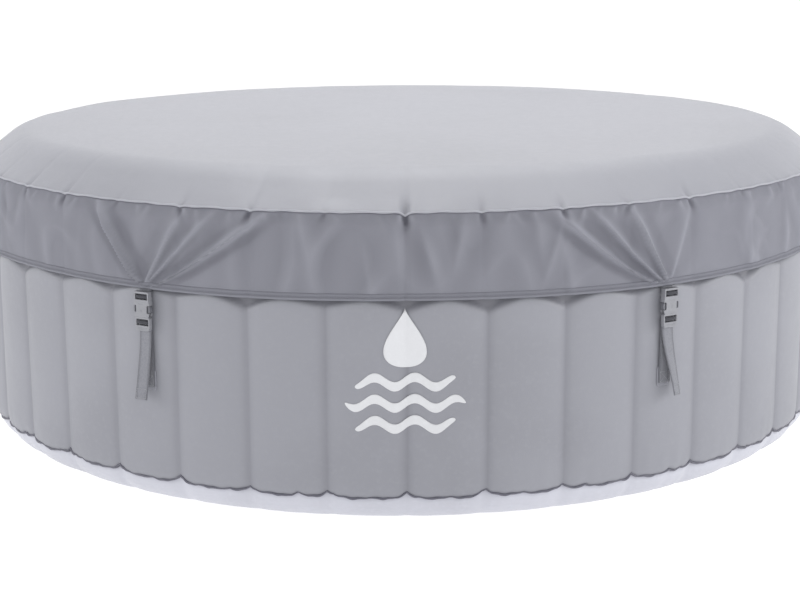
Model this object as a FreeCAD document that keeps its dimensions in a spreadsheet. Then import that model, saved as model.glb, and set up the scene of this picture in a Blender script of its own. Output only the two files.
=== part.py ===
import FreeCAD, Part
import math
import os

import Sketcher
from FreeCAD import Placement, Rotation, Vector

# A round inflatable hot tub with its padded lid buckled down.
# Millimetres, +Z up. The origin is the centre of the ground face.
# Angles go round the tub from the front, where -Y is 0 and +X is 90.

DIMENSIONS = {
    # the air wall: upright columns between radial webs
    "column_count": 40,
    "first_seam": 0.6,
    "seam_radius": 1025,
    "wall_radius": 1040,
    "basin_radius": 800,
    "skin": 2.5,
    "base_seam_height": 65,
    "wall_top": 612,
    # the stretch of wall with the ports, counted in columns from the first seam
    "panel_start": 17,
    "panel_columns": 7,
    "rim_height": 650,
    "ground_radius": 945,
    "web_skin": 1.5,
    "web_window": 45,
    "floor_thick": 6,
    # fabric lid cover and the inflated pad inside it
    "fabric": 1.5,
    "piping_height": 643,
    "piping_reach": 1034.5,
    "piping_bead": 3,
    "lid_top": 728,
    "lid_flat_radius": 800,
    "shoulder_bend": 50,
    "skirt_knee_height": 614,
    "skirt_knee_radius": 1041.5,
    "hem_height": 470,
    "hem_radius": 1047.5,
    "hem_depth": 16,
    "gap": 0.3,
    # webbing straps and side-release buckles
    "webbing_width": 29,
    "webbing_thick": 1.4,
    "buckle_top": 463,
    "buckle_radius": 1054,
    "buckle_width": 39,
    "buckle_thick": 12,
    "socket_length": 52,
    "tail_end": 238,
    "anchor_height": 270,
    # hose ports through the air wall
    "port_height": 190,
    "port_bore": 19,
    "port_pipe": 25,
    "port_thread": 30,
    "port_flange": 50,
    "air_bore": 12,
    "air_pipe": 16,
    "air_thread": 20,
    "air_flange": 36,
    "port_reach": 1086,
    # drain, inflation valve, lid valve and filter
    "drain_height": 105,
    "drain_bore": 9,
    "drain_pipe": 13,
    "drain_thread": 16,
    "drain_flange": 30,
    "drain_reach": 1066,
    "valve_height": 300,
    "valve_flange": 34,
    "valve_seat": 22,
    "lid_valve_radius": 700,
    "filter_radius": 60,
    "filter_length": 150,
    "bubble_ring": 778,
    "bubble_tube": 12,
    "bubble_hole": 1.5,
    "bubble_holes": 60,
}

STRAP_ANGLES = [-147.9, -93.9, -29.7, 31.3, 95.1, 149.1]
INLET_ANGLE = 176.1
OUTLET_ANGLE = 185.1
AIR_ANGLE = 194.1
DRAIN_ANGLE = 212.1
VALVE_ANGLE = 158.1
LID_VALVE_ANGLE = 180.0


class Size(float):
    """A number that remembers the sheet expression it came from."""

    def __new__(cls, value, text):
        size = super().__new__(cls, value)
        size.text = text
        return size

    def __add__(self, other):
        return Size(float(self) + float(other), f"({self.text} + {text_of(other)})")

    def __sub__(self, other):
        return Size(float(self) - float(other), f"({self.text} - {text_of(other)})")

    def __rsub__(self, other):
        return Size(float(other) - float(self), f"({text_of(other)} - {self.text})")

    def __mul__(self, other):
        return Size(float(self) * float(other), f"({self.text} * {text_of(other)})")

    def __truediv__(self, other):
        return Size(float(self) / float(other), f"({self.text} / {text_of(other)})")

    def __neg__(self):
        return Size(-float(self), f"(0 - {self.text})")

    __radd__ = __add__
    __rmul__ = __mul__


def text_of(value):
    return getattr(value, "text", repr(float(value)))


def sine(size):
    return Size(math.sin(math.radians(size)), f"sin({text_of(size)})")


def cosine(size):
    return Size(math.cos(math.radians(size)), f"cos({text_of(size)})")


def start_document():
    document = FreeCAD.newDocument("hot_tub")
    sheet = document.addObject("Spreadsheet::Sheet", "Sizes")
    for row, (alias, value) in enumerate(DIMENSIONS.items(), start=1):
        sheet.set(f"A{row}", alias)
        sheet.set(f"B{row}", str(value))
        sheet.setAlias(f"B{row}", alias)
    document.recompute()
    return document


doc = start_document()
size = {name: Size(value, f"Sizes.{name}") for name, value in DIMENSIONS.items()}
parts = []


def bind(thing, path, value):
    """Sets a property to a number and, where it is a Size, to its expression."""
    if hasattr(value, "text"):
        thing.setExpression(path, value.text)
    else:
        setattr(thing, path, value)


def keep(thing, label, place=None):
    """Names a finished sub-part and puts it in its place."""
    if place is not None:
        thing.Placement = place
    thing.Label = label
    parts.append(thing)
    return thing


# ---------------------------------------------------------------- placements


def around(angle):
    """Carries a piece modelled at the back of the tub, on +Y, round to an angle."""
    return Placement(Vector(0, 0, 0), Rotation(Vector(0, 0, 1), angle - 180))


def hung(angle, radius, height):
    """A frame at an angle: X along the wall, Y outwards, Z up."""
    return around(angle) * Placement(Vector(0, radius, height), Rotation())


def radial(angle, height):
    """A frame whose Z points outwards and is the distance from the tub's axis."""
    turn = Placement(Vector(0, 0, height), Rotation(Vector(0, 0, 1), angle))
    return turn * Placement(Vector(0, 0, 0), Rotation(Vector(1, 0, 0), 90))


# ---------------------------------------------------------------- sketches


def new_body(name):
    return doc.addObject("PartDesign::Body", name + "_body")


def new_sketch(body, plane, lift=None):
    sketch = body.newObject("Sketcher::SketchObject", body.Name + "_sketch")
    origin = [f for f in body.Origin.OriginFeatures if f.Role == plane]
    sketch.AttachmentSupport = [(origin[0], "")]
    sketch.MapMode = "FlatFace"
    if lift is not None:
        sketch.setExpression("AttachmentOffset.Base.z", text_of(lift))
    return sketch


def pin_corner(sketch, geometry, end, corner):
    """Holds one corner at its two distances from the sketch's origin."""
    for kind, value, axis in (("DistanceX", corner[0], -2), ("DistanceY", corner[1], -1)):
        if abs(value) < 1e-9:
            sketch.addConstraint(Sketcher.Constraint("PointOnObject", geometry, end, axis))
            continue
        number = sketch.addConstraint(
            Sketcher.Constraint(kind, -1, 1, geometry, end, float(value))
        )
        if hasattr(value, "text"):
            sketch.setExpression(f"Constraints[{number}]", value.text)


def arc_between(start, end, radius, turn):
    """The short arc from start to end; turn is 1 anticlockwise and -1 clockwise."""
    middle = (start + end) * 0.5
    along = end - start
    aside = Vector(-along.y, along.x, 0) * (turn / along.Length)
    centre = middle + aside * math.sqrt(max(radius**2 - along.Length**2 / 4, 0))
    top = centre - aside * radius
    return Part.Arc(start, top, end) if turn > 0 else Part.Arc(end, top, start)


def outline(sketch, corners):
    """A closed outline. A corner is (x, y), or (x, y, radius, turn) when an arc leads to it."""
    points = [Vector(c[0], c[1], 0) for c in corners]
    ends = []
    for i, corner in enumerate(corners):
        start, end = points[i - 1], points[i]
        if len(corner) == 2:
            number = sketch.addGeometry(Part.LineSegment(start, end), False)
            ends.append((number, 1, 2))
            continue
        number = sketch.addGeometry(arc_between(start, end, float(corner[2]), corner[3]), False)
        ends.append((number, 1, 2) if corner[3] > 0 else (number, 2, 1))
    for i, corner in enumerate(corners):
        number, first, last = ends[i]
        before = ends[i - 1]
        sketch.addConstraint(
            Sketcher.Constraint("Coincident", before[0], before[2], number, first)
        )
        pin_corner(sketch, number, last, corner)
        if len(corner) > 2:
            held = sketch.addConstraint(Sketcher.Constraint("Radius", number, float(corner[2])))
            if hasattr(corner[2], "text"):
                sketch.setExpression(f"Constraints[{held}]", corner[2].text)
    return sketch


def circle(sketch, x, y, radius):
    number = sketch.addGeometry(Part.Circle(Vector(x, y, 0), Vector(0, 0, 1), radius), False)
    pin_corner(sketch, number, 3, (x, y))
    held = sketch.addConstraint(Sketcher.Constraint("Radius", number, float(radius)))
    if hasattr(radius, "text"):
        sketch.setExpression(f"Constraints[{held}]", radius.text)
    return sketch


# ---------------------------------------------------------------- ways to make a piece


def turned(name, corners):
    """A piece turned about Z from its half section, given as (radius, height)."""
    body = new_body(name)
    sketch = outline(new_sketch(body, "XZ_Plane"), corners)
    turn = body.newObject("PartDesign::Revolution", name + "_turn")
    turn.Profile = sketch
    turn.ReferenceAxis = (sketch, ["V_Axis"])
    turn.Angle = 360
    sketch.Visibility = False
    return body


def slab(name, corners, thickness, plane="XZ_Plane"):
    """A flat piece of an outline, half its thickness each side of the plane."""
    body = new_body(name)
    sketch = outline(new_sketch(body, plane), corners)
    pad = body.newObject("PartDesign::Pad", name + "_pad")
    pad.Profile = sketch
    pad.Midplane = True
    bind(pad, "Length", thickness)
    return body


def polar(body, feature, count, turn=360):
    pattern = body.newObject("PartDesign::PolarPattern", body.Name + "_pattern")
    pattern.Originals = [feature]
    axis = [f for f in body.Origin.OriginFeatures if f.Role == "Z_Axis"]
    pattern.Axis = (axis[0], [""])
    pattern.Angle = turn
    bind(pattern, "Occurrences", count)
    body.Tip = pattern
    return pattern


def cut_through(body, shapes, name):
    """Cuts outlines, drawn on the XZ plane, right through a body both ways."""
    sketch = new_sketch(body, "XZ_Plane")
    for corners in shapes:
        outline(sketch, corners)
    pocket = body.newObject("PartDesign::Pocket", name)
    pocket.Profile = sketch
    pocket.Type = "ThroughAll"
    pocket.Midplane = True
    return pocket


def eased(body, amount, wanted, kind="Fillet"):
    """Rounds, or chamfers, the edges of a body's last feature that wanted(edge) picks."""
    doc.recompute()
    base = body.Tip
    names = [f"Edge{i}" for i, e in enumerate(base.Shape.Edges, 1) if wanted(e)]
    ease = body.newObject("PartDesign::" + kind, body.Name + "_ease")
    ease.Base = (base, names)
    setattr(ease, "Radius" if kind == "Fillet" else "Size", amount)
    return ease


def rectangle(left, bottom, right, top):
    return [(left, bottom), (right, bottom), (right, top), (left, top)]


def block(name, low, high):
    """A Part::Box from its low corner to its high corner."""
    box = doc.addObject("Part::Box", name)
    for path, a, b in zip(("Length", "Width", "Height"), low, high):
        bind(box, path, b - a)
    for path, a in zip(("x", "y", "z"), low):
        box.setExpression(f"Placement.Base.{path}", text_of(a))
    return box


def rod(name, radius, start, end, place):
    """A Part::Cylinder along the Z of a frame, between two distances."""
    cylinder = doc.addObject("Part::Cylinder", name)
    bind(cylinder, "Radius", radius)
    bind(cylinder, "Height", end - start)
    cylinder.Placement = place * Placement(Vector(0, 0, start), Rotation())
    return cylinder


def fused(name, things):
    fuse = doc.addObject("Part::MultiFuse", name)
    fuse.Shapes = things
    return fuse


def cut(name, base, tool):
    result = doc.addObject("Part::Cut", name)
    result.Base = base
    result.Tool = tool
    return result


def common(name, base, tool):
    result = doc.addObject("Part::Common", name)
    result.Base = base
    result.Tool = tool
    return result


def webbing(name, route, bends):
    """A strap that follows a route of (distance out, height), bent round at its corners.

    The strap is webbing_thick thick and webbing_width wide, and lies on the YZ plane."""
    half = float(size["webbing_thick"]) / 2
    points = [Vector(0, r, z) for r, z in route]
    edges = []
    start = points[0]
    for here, after, bend in zip(points[1:-1], points[2:], bends):
        way_in = (here - start).normalize()
        way_out = (after - here).normalize()
        angle = way_in.getAngle(way_out)
        back = bend * math.tan(angle / 2)
        first, last = here - way_in * back, here + way_out * back
        inner = (way_out - way_in).normalize()
        centre = here + inner * (bend / math.cos(angle / 2))
        edges.append(Part.LineSegment(start, first).toShape())
        edges.append(Part.Arc(first, centre - inner * bend, last).toShape())
        start = last
    edges.append(Part.LineSegment(start, points[-1]).toShape())
    path = doc.addObject("Part::Feature", name + "_route")
    path.Shape = Part.Wire(edges)
    band = doc.addObject("Part::Offset2D", name + "_band")
    band.Source = path
    band.Value = half
    band.Mode = "Pipe"
    band.Join = "Arc"
    strap = doc.addObject("Part::Extrusion", name + "_strap")
    strap.Base = band
    strap.DirMode = "Custom"
    strap.Dir = Vector(1, 0, 0)
    strap.Solid = True
    strap.Symmetric = True
    bind(strap, "LengthFwd", size["webbing_width"])
    return strap


# ---------------------------------------------------------------- the air wall


def wall_column(name):
    """The outer skin: one bulging column, repeated round the tub."""
    body = new_body(name)
    half = Size(180 / size["column_count"].real, "(180 / Sizes.column_count)")
    seam, skin = size["seam_radius"], size["skin"]
    across = seam * sine(half)
    rise = size["wall_radius"] - seam * cosine(half)
    bend = (across * across + rise * rise) / (2 * rise)
    inner = seam - skin
    corners = [
        (-(inner * sine(half)), inner * cosine(half)),
        (-across, seam * cosine(half)),
        (across, seam * cosine(half), bend, -1),
        (inner * sine(half), inner * cosine(half)),
    ]
    corners[0] += (bend, 1)
    sketch = outline(new_sketch(body, "XY_Plane", size["base_seam_height"]), corners)
    pad = body.newObject("PartDesign::Pad", name + "_pad")
    pad.Profile = sketch
    bind(pad, "Length", size["wall_top"] - size["base_seam_height"])
    doc.recompute()
    # the drawn column is centred on the back, where a seam would fall without the turn
    turn = float(half + size["first_seam"])
    body.Placement = Placement(Vector(), Rotation(Vector(0, 0, 1), turn))
    polar(body, pad, size["column_count"])
    return body


def port_tools(name, start, end):
    """Round holes for everything that passes through one skin of the wall."""
    pipe, port = size["port_pipe"] + 0.3, size["port_height"]
    drain = radial(DRAIN_ANGLE, size["drain_height"])
    return [
        rod(name + "_in", pipe, start, end, radial(INLET_ANGLE, port)),
        rod(name + "_out", pipe, start, end, radial(OUTLET_ANGLE, port)),
        rod(name + "_air", size["air_pipe"] + 0.3, start, end, radial(AIR_ANGLE, port)),
        rod(name + "_drain", size["drain_pipe"] + 0.3, start, end, drain),
    ]


def port_sector(name):
    """The stretch of wall that the ports pass through, from one seam to another, as a tool."""
    pitch = 360 / float(size["column_count"])
    first = float(size["first_seam"]) + float(size["panel_start"]) * pitch
    tool = doc.addObject("Part::Cylinder", name)
    bind(tool, "Radius", size["wall_radius"] + 20)
    bind(tool, "Height", size["wall_top"] + 20)
    tool.Angle = float(size["panel_columns"]) * pitch
    tool.Placement = Placement(Vector(), Rotation(Vector(0, 0, 1), first - 90))
    return tool


def air_wall():
    sector = port_sector("port_sector")
    start, end = size["seam_radius"] - 30, size["wall_radius"] + 20
    valve_seat = radial(VALVE_ANGLE, size["valve_height"])
    holes = port_tools("outer_hole", start, end)
    holes.append(rod("outer_hole_valve", size["valve_seat"] + 0.3, start, end, valve_seat))
    skin_ring = wall_column("wall_ring")
    keep(cut("outer_wall", skin_ring, sector), "outer_wall")
    blank = common("wall_panel_blank", skin_ring, sector)
    keep(cut("wall_panel", blank, fused("outer_holes", holes)), "wall_panel")

    r, skin = size["basin_radius"], size["skin"]
    foot = skin + size["gap"]
    liner = turned("liner_ring", rectangle(r, foot, r + skin, size["wall_top"]))
    holes = port_tools("inner_hole", r - 20, r + 20)
    keep(cut("inner_wall", liner, sector), "inner_wall")
    blank = common("liner_panel_blank", liner, sector)
    keep(cut("liner_panel", blank, fused("inner_holes", holes)), "liner_panel")

    low, high, wide = size["wall_top"], size["rim_height"], size["wall_radius"]
    bend = high - low
    rim = [
        (r, low),
        (r + bend, high, bend, -1),
        (wide - bend, high),
        (wide, low, bend, -1),
        (wide - skin, low),
        (wide - bend, high - skin, bend - skin, 1),
        (r + bend, high - skin),
        (r + skin, low, bend - skin, 1),
    ]
    keep(turned("top_rim", rim), "top_rim")


def base_and_floor():
    """The bottom skin: a flat sheet on the ground and the curved flank up to the base seam."""
    skin, seam, height = size["skin"], size["seam_radius"], size["base_seam_height"]
    ground = size["ground_radius"]
    keep(turned("base_sheet", rectangle(0, 0, ground - 0.1, skin)), "base_sheet")

    flank = ((seam - ground) * (seam - ground) + height * height) / (2 * height)
    # the inner corner of the flank lies on its own, smaller arc
    reach = math.sqrt(float(flank - skin) ** 2 - float(flank - height) ** 2)
    side = [
        (ground, 0),
        (seam, height, flank, 1),
        (ground + reach, height),
        (ground, skin, flank - skin, -1),
    ]
    keep(turned("base_flank", side), "base_flank")

    band_out = size["wall_radius"] - 6
    band = rectangle(seam + size["gap"], height - 5, band_out, height - size["gap"])
    keep(turned("base_weld_band", band), "base_weld_band")

    low = skin + size["gap"]
    floor = rectangle(0, low, size["basin_radius"] - 1, low + size["floor_thick"])
    keep(turned("floor_liner", floor), "floor_liner")


def wall_webs():
    """Radial webs that hold the two skins together, with windows that let the air through."""
    body = new_body("wall_webs")
    body.AllowCompound = True
    inner = size["basin_radius"] + size["skin"] + 2
    outer = size["seam_radius"] - size["skin"] - 2
    low, high = size["base_seam_height"] + 5, size["wall_top"] - 8
    sketch = outline(new_sketch(body, "YZ_Plane"), rectangle(inner, low, outer, high))
    middle = (inner + outer) / 2
    for share in (0.2, 0.5, 0.8):
        circle(sketch, middle, low + (high - low) * share, size["web_window"])
    pad = body.newObject("PartDesign::Pad", "wall_web_pad")
    pad.Profile = sketch
    pad.Midplane = True
    bind(pad, "Length", size["web_skin"])
    doc.recompute()
    polar(body, pad, size["column_count"])
    body.Placement = Placement(Vector(), Rotation(Vector(0, 0, 1), float(size["first_seam"])))
    keep(body, "wall_webs")


def bubble_tube():
    """The air ring round the foot of the basin, with a row of holes along its top."""
    body = new_body("bubble_tube")
    low = size["skin"] + size["gap"] * 2 + size["floor_thick"]
    height = low + size["bubble_tube"]
    ring = new_sketch(body, "XZ_Plane")
    circle(ring, size["bubble_ring"], height, size["bubble_tube"])
    circle(ring, size["bubble_ring"], height, size["bubble_tube"] - 2)
    turn = body.newObject("PartDesign::Revolution", "bubble_turn")
    turn.Profile = ring
    turn.ReferenceAxis = (ring, ["V_Axis"])
    turn.Angle = 360
    doc.recompute()
    whole = turn.Shape.Volume
    hole = new_sketch(body, "XY_Plane", height)
    circle(hole, size["bubble_ring"], 0, size["bubble_hole"])
    pocket = body.newObject("PartDesign::Pocket", "bubble_pocket")
    pocket.Profile = hole
    pocket.Reversed = True
    bind(pocket, "Length", size["bubble_tube"] + 2)
    doc.recompute()
    polar(body, pocket, size["bubble_holes"])
    doc.recompute()
    assert body.Shape.Volume < whole - 1, "the bubble holes cut nothing"
    keep(body, "bubble_tube")


# ---------------------------------------------------------------- fittings in the wall


def hose_port(name, angle, bore, pipe, thread, flange):
    """A hose port: flange, pipe through the wall and threaded spigot, with its nut inside."""
    out = size["wall_radius"] + size["gap"]
    inside = size["basin_radius"] - 12
    reach = size["port_reach"]
    place = radial(angle, size["port_height"])
    shape = [
        (bore, inside),
        (pipe, inside),
        (pipe, out),
        (flange, out),
        (flange, out + 5),
        (thread + 4, out + 9),
        (thread, out + 9),
        (thread, reach - 1),
        (thread - 1, reach),
        (bore, reach),
    ]
    keep(turned(name, shape), name, place)
    # the nut's flat face stands off the round basin wall at its middle
    face = size["basin_radius"] - size["gap"] - 1.7
    nut = [
        (pipe + 0.1, face - 9),
        (flange - 8, face - 9),
        (flange - 4, face - 4),
        (flange - 4, face),
        (pipe + 0.1, face),
    ]
    keep(turned(name + "_nut", nut), name + "_nut", place)


def hose_ports():
    water = [size[k] for k in ("port_bore", "port_pipe", "port_thread", "port_flange")]
    air = [size[k] for k in ("air_bore", "air_pipe", "air_thread", "air_flange")]
    hose_port("water_inlet", INLET_ANGLE, *water)
    hose_port("water_outlet", OUTLET_ANGLE, *water)
    hose_port("air_port", AIR_ANGLE, *air)


def knob(name, hub, radius, low, high, notches, inside):
    """A round cap: a cup that opens inwards, with finger notches round its rim."""
    wall = 2.5
    shape = [
        (0, high - wall),
        (inside, high - wall),
        (inside, low),
        (radius, low),
        (radius, high - 1.5),
        (radius - 1.5, high),
        (0, high),
    ]
    body = turned(name, shape)
    sketch = new_sketch(body, "XY_Plane", low - 1)
    circle(sketch, radius + hub, 0, hub + 1.2)
    pocket = body.newObject("PartDesign::Pocket", name + "_notch")
    pocket.Profile = sketch
    pocket.Reversed = True
    bind(pocket, "Length", high - low + 2)
    doc.recompute()
    polar(body, pocket, notches)
    return body


def drain_valve():
    out = size["wall_radius"] + size["gap"]
    inside = size["basin_radius"] - 6
    reach = size["drain_reach"]
    bore, pipe = size["drain_bore"], size["drain_pipe"]
    thread, flange = size["drain_thread"], size["drain_flange"]
    place = radial(DRAIN_ANGLE, size["drain_height"])
    shape = [
        (bore, inside),
        (pipe, inside),
        (pipe, out),
        (flange, out),
        (flange, out + 4),
        (thread, out + 6),
        (thread, reach - 1),
        (thread - 1, reach),
        (bore, reach),
    ]
    keep(turned("drain_valve", shape), "drain_valve", place)
    seal_low = reach + 0.05
    seal = rectangle(bore + 1, seal_low, thread - 0.6, seal_low + 2)
    keep(turned("drain_seal", seal), "drain_seal", place)
    top = seal_low + 2 + 0.05 + 2.5
    cap = knob("drain_cap", 3, thread + 4.5, out + 8, top, 12, thread + 0.3)
    keep(cap, "drain_cap", place)


def air_valve(prefix, place, out, depth):
    """A welded valve flange with its seat, and the quarter-turn cap on it."""
    seat, flange = size["valve_seat"], size["valve_flange"]
    shape = [
        (seat - 8, out - depth),
        (seat, out - depth),
        (seat, out),
        (flange, out),
        (flange, out + 2),
        (seat + 2, out + 4),
        (seat - 4, out + 4),
        (seat - 4, out - depth + 4),
        (seat - 8, out - depth + 4),
    ]
    keep(turned(prefix + "_valve", shape), prefix + "_valve", place)
    cap = knob(prefix + "_cap", 4, seat + 4, out + 4.3, out + 14, 8, seat - 5)
    keep(cap, prefix + "_cap", place)


def filter_parts():
    """The filter basket on the basin side of the water inlet, its cartridge and its end cap."""
    place = radial(INLET_ANGLE, size["port_height"])
    r = size["filter_radius"]
    back = size["basin_radius"] - size["gap"] * 2 - 13
    front = back - size["filter_length"]
    wall = 3
    shape = [
        (size["port_pipe"] + 1, back - wall),
        (r - wall, back - wall),
        (r - wall, front),
        (r, front),
        (r, back),
        (size["port_pipe"] + 1, back),
    ]
    basket = turned("filter_basket", shape)
    length = float(size["filter_length"])
    slot = rectangle(-4, front + 18, 4, front + length - 22)
    pocket = cut_through(basket, [slot], "filter_slots")
    doc.recompute()
    polar(basket, pocket, 8, 157.5)
    keep(basket, "filter_basket", place)
    inner, outer = 22, r - wall - 5
    cartridge = [
        (inner, front + 4),
        (outer + 2, front + 4),
        (outer + 2, front + 12),
        (outer, front + 12),
        (outer, back - wall - 10),
        (outer + 2, back - wall - 10),
        (outer + 2, back - wall - 2),
        (inner, back - wall - 2),
    ]
    keep(turned("filter_cartridge", cartridge), "filter_cartridge", place)
    cap = [
        (0, front - 8),
        (r + 1, front - 8),
        (r + 3, front - 6),
        (r + 3, front - 0.3),
        (r - wall - 0.4, front - 0.3),
        (r - wall - 0.4, front + 3),
        (r - wall - 3, front + 3),
        (r - wall - 3, front - 4),
        (0, front - 4),
    ]
    keep(turned("filter_cap", cap), "filter_cap", place)


# ---------------------------------------------------------------- the lid


def shoulder(offset):
    """The lid's edge in section, as two arcs: (bend, broad bend, joint radius, joint height)."""
    bend = float(size["shoulder_bend"])
    edge = float(size["piping_reach"]) + 0.5
    foot = float(size["piping_height"])
    run = edge - float(size["lid_flat_radius"]) - bend
    rise = float(size["lid_top"]) - 4 - foot - bend
    turn = 2 * math.atan(run / rise) - math.pi / 2
    broad = run / math.cos(turn) + bend
    r = edge - bend + (bend - offset) * math.cos(turn)
    z = foot + (bend - offset) * math.sin(turn)
    return bend - offset, broad - offset, r, z, edge - bend


def lid_side(offset, low):
    """Corners up the lid's side and over its top, offset inwards, from a height."""
    small, broad, r, z, centre = shoulder(offset)
    drop = low - float(size["piping_height"])
    start = (centre + math.sqrt(small**2 - drop**2), low)
    flat = size["lid_flat_radius"]
    return [
        start,
        (r, z, small, 1),
        (flat, size["lid_top"] - 4 - offset, broad, 1),
        (0, size["lid_top"] - offset),
    ]


def lid():
    fabric, gap, bead = size["fabric"], size["gap"], size["piping_bead"]
    foot = float(size["piping_height"] + bead) + 0.2
    outside, inside = lid_side(0, foot), lid_side(float(fabric), foot)
    back = [
        (0, size["lid_top"] - fabric),
        (size["lid_flat_radius"], size["lid_top"] - 4 - fabric),
        (inside[1][0], inside[1][1], inside[2][2], -1),
        (inside[0][0], inside[0][1], inside[1][2], -1),
    ]
    keep(turned("cover_top", outside + back), "cover_top")

    body = new_body("cover_piping")
    ring = circle(new_sketch(body, "XZ_Plane"), size["piping_reach"], size["piping_height"], bead)
    turn = body.newObject("PartDesign::Revolution", "piping_turn")
    turn.Profile = ring
    turn.ReferenceAxis = (ring, ["V_Axis"])
    turn.Angle = 360
    keep(body, "cover_piping")

    top = size["piping_height"] - bead - 0.2
    knee_r, knee_z = size["skirt_knee_radius"], size["skirt_knee_height"]
    hem_r, hem_z = size["hem_radius"], size["hem_height"]
    edge = size["piping_reach"]
    skirt = [
        (hem_r, hem_z + gap),
        (hem_r + fabric, hem_z + gap),
        (knee_r + fabric, knee_z),
        (edge + fabric, top),
        (edge, top),
        (knee_r, knee_z),
    ]
    keep(turned("cover_skirt", skirt), "cover_skirt")

    deep = size["hem_depth"]
    inner, outer = hem_r - 0.8, hem_r + fabric + gap
    hem = [
        (inner - 1.4, hem_z - 1.5),
        (outer + 1.3, hem_z - 1.5),
        (outer + 1.3, hem_z + deep),
        (outer, hem_z + deep),
        (outer, hem_z),
        (inner, hem_z),
        (inner, hem_z + deep),
        (inner - 1.4, hem_z + deep),
    ]
    keep(turned("cover_hem", hem), "cover_hem")

    rim = size["rim_height"] + gap
    lining = rectangle(0, rim, size["wall_radius"] - 16, rim + fabric)
    keep(turned("cover_lining", lining), "cover_lining")
    lid_pad(float(rim + fabric + gap))


def lid_pad(low):
    """The inflated pad inside the lid: one closed skin round an air space, with its valve."""
    skin, slack = 2.0, 2.5
    outer, inner = lid_side(slack, low), lid_side(slack + skin, low + skin)
    body = new_body("lid_bladder")
    sketch = outline(new_sketch(body, "XZ_Plane"), [(0, low)] + outer)
    turn = body.newObject("PartDesign::Revolution", "bladder_turn")
    turn.Profile = sketch
    turn.ReferenceAxis = (sketch, ["V_Axis"])
    turn.Angle = 360
    doc.recompute()
    hollow = turned("lid_air", [(0, low + skin)] + inner)
    place = hung(LID_VALVE_ANGLE, size["lid_valve_radius"], 0)
    down = place * Placement(Vector(0, 0, 0), Rotation(Vector(1, 0, 0), 180))
    hole = rod("lid_valve_hole", size["valve_seat"] + 0.3, -low - 5, -low + 10, down)
    keep(cut("lid_bladder", body, fused("lid_spaces", [hollow, hole])), "lid_bladder")
    lining = [p for p in parts if p.Label == "cover_lining"][0]
    parts.remove(lining)
    lining.Label = "cover_lining_sheet"
    access = rod("lid_valve_access", size["valve_flange"] + 4, -low - 5, -low + 10, down)
    keep(cut("cover_lining", lining, access), "cover_lining")
    air_valve("lid", down, Size(-low + 0.3, repr(-low + 0.3)), 16)


# ---------------------------------------------------------------- straps and buckles


def strap_routes():
    """The routes, as (distance out, height), of the lid's loops and of the tub's straps."""
    wall, thick = float(size["wall_radius"]), float(size["webbing_thick"])
    top = float(size["buckle_top"])
    middle = float(size["buckle_radius"])
    half = float(size["buckle_thick"]) / 2
    near = wall + 0.6 + thick / 2
    far = near + thick + 0.9
    front = middle + half + 0.5 + thick / 2
    sewn = float(size["hem_height"]) + 50
    lid_loop = [
        (near, sewn),
        (near, top - 6.25),
        (front, top - 6.25),
        (front, top + 0.9 + thick / 2),
        (far, top + 0.9 + thick / 2),
        (far, sewn),
    ]
    upper, lower = top - 59.25, top - 68.25
    back = middle - half + 0.3 - thick / 2
    rear = back - thick - 1.0
    face = middle + half - 1.0 + thick / 2
    anchor = float(size["anchor_height"])
    tub_loop = [
        (back, float(size["tail_end"])),
        (back, lower),
        (face, lower),
        (face, upper),
        (rear, upper),
        (rear, upper - 30),
        (wall + 2.6 + thick / 2, anchor + 50),
        (wall + 2.6 + thick / 2, anchor - 8),
    ]
    return lid_loop, tub_loop


def straps():
    lid_loop, tub_loop = strap_routes()
    tight = 1.2
    upper, lower, patches = [], [], []
    for i, angle in enumerate(STRAP_ANGLES, 1):
        loop = webbing(f"lid_loop_{i}", lid_loop, [tight] * 4)
        loop.Placement = around(angle)
        upper.append(loop)
        tail = webbing(f"tub_strap_{i}", tub_loop, [tight] * 4 + [20, 20])
        tail.Placement = around(angle)
        lower.append(tail)
        high = size["anchor_height"]
        out = size["wall_radius"]
        low = (Size(-15.5, "-15.5"), out + 0.2, high - 14)
        patch = block(f"patch_{i}", low, (Size(15.5, "15.5"), out + 1.6, high + 26))
        holder = doc.addObject("Part::Compound", f"patch_holder_{i}")
        holder.Links = [patch]
        holder.Placement = around(angle)
        patches.append(holder)
    for label, things in (("lid_loops", upper), ("tub_straps", lower), ("anchor_patches", patches)):
        group = doc.addObject("Part::Compound", label + "_group")
        group.Links = things
        keep(group, label)


def along_y(edge):
    """True for an edge that runs through a slab's thickness."""
    box = edge.BoundBox
    return box.YLength > 5 and box.XLength < 0.01 and box.ZLength < 0.01


def on_face(edge, half):
    """True for an edge that lies in one of a slab's two big faces."""
    box = edge.BoundBox
    return box.YLength < 0.01 and abs(abs(box.YMin) - half) < 0.01


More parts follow.
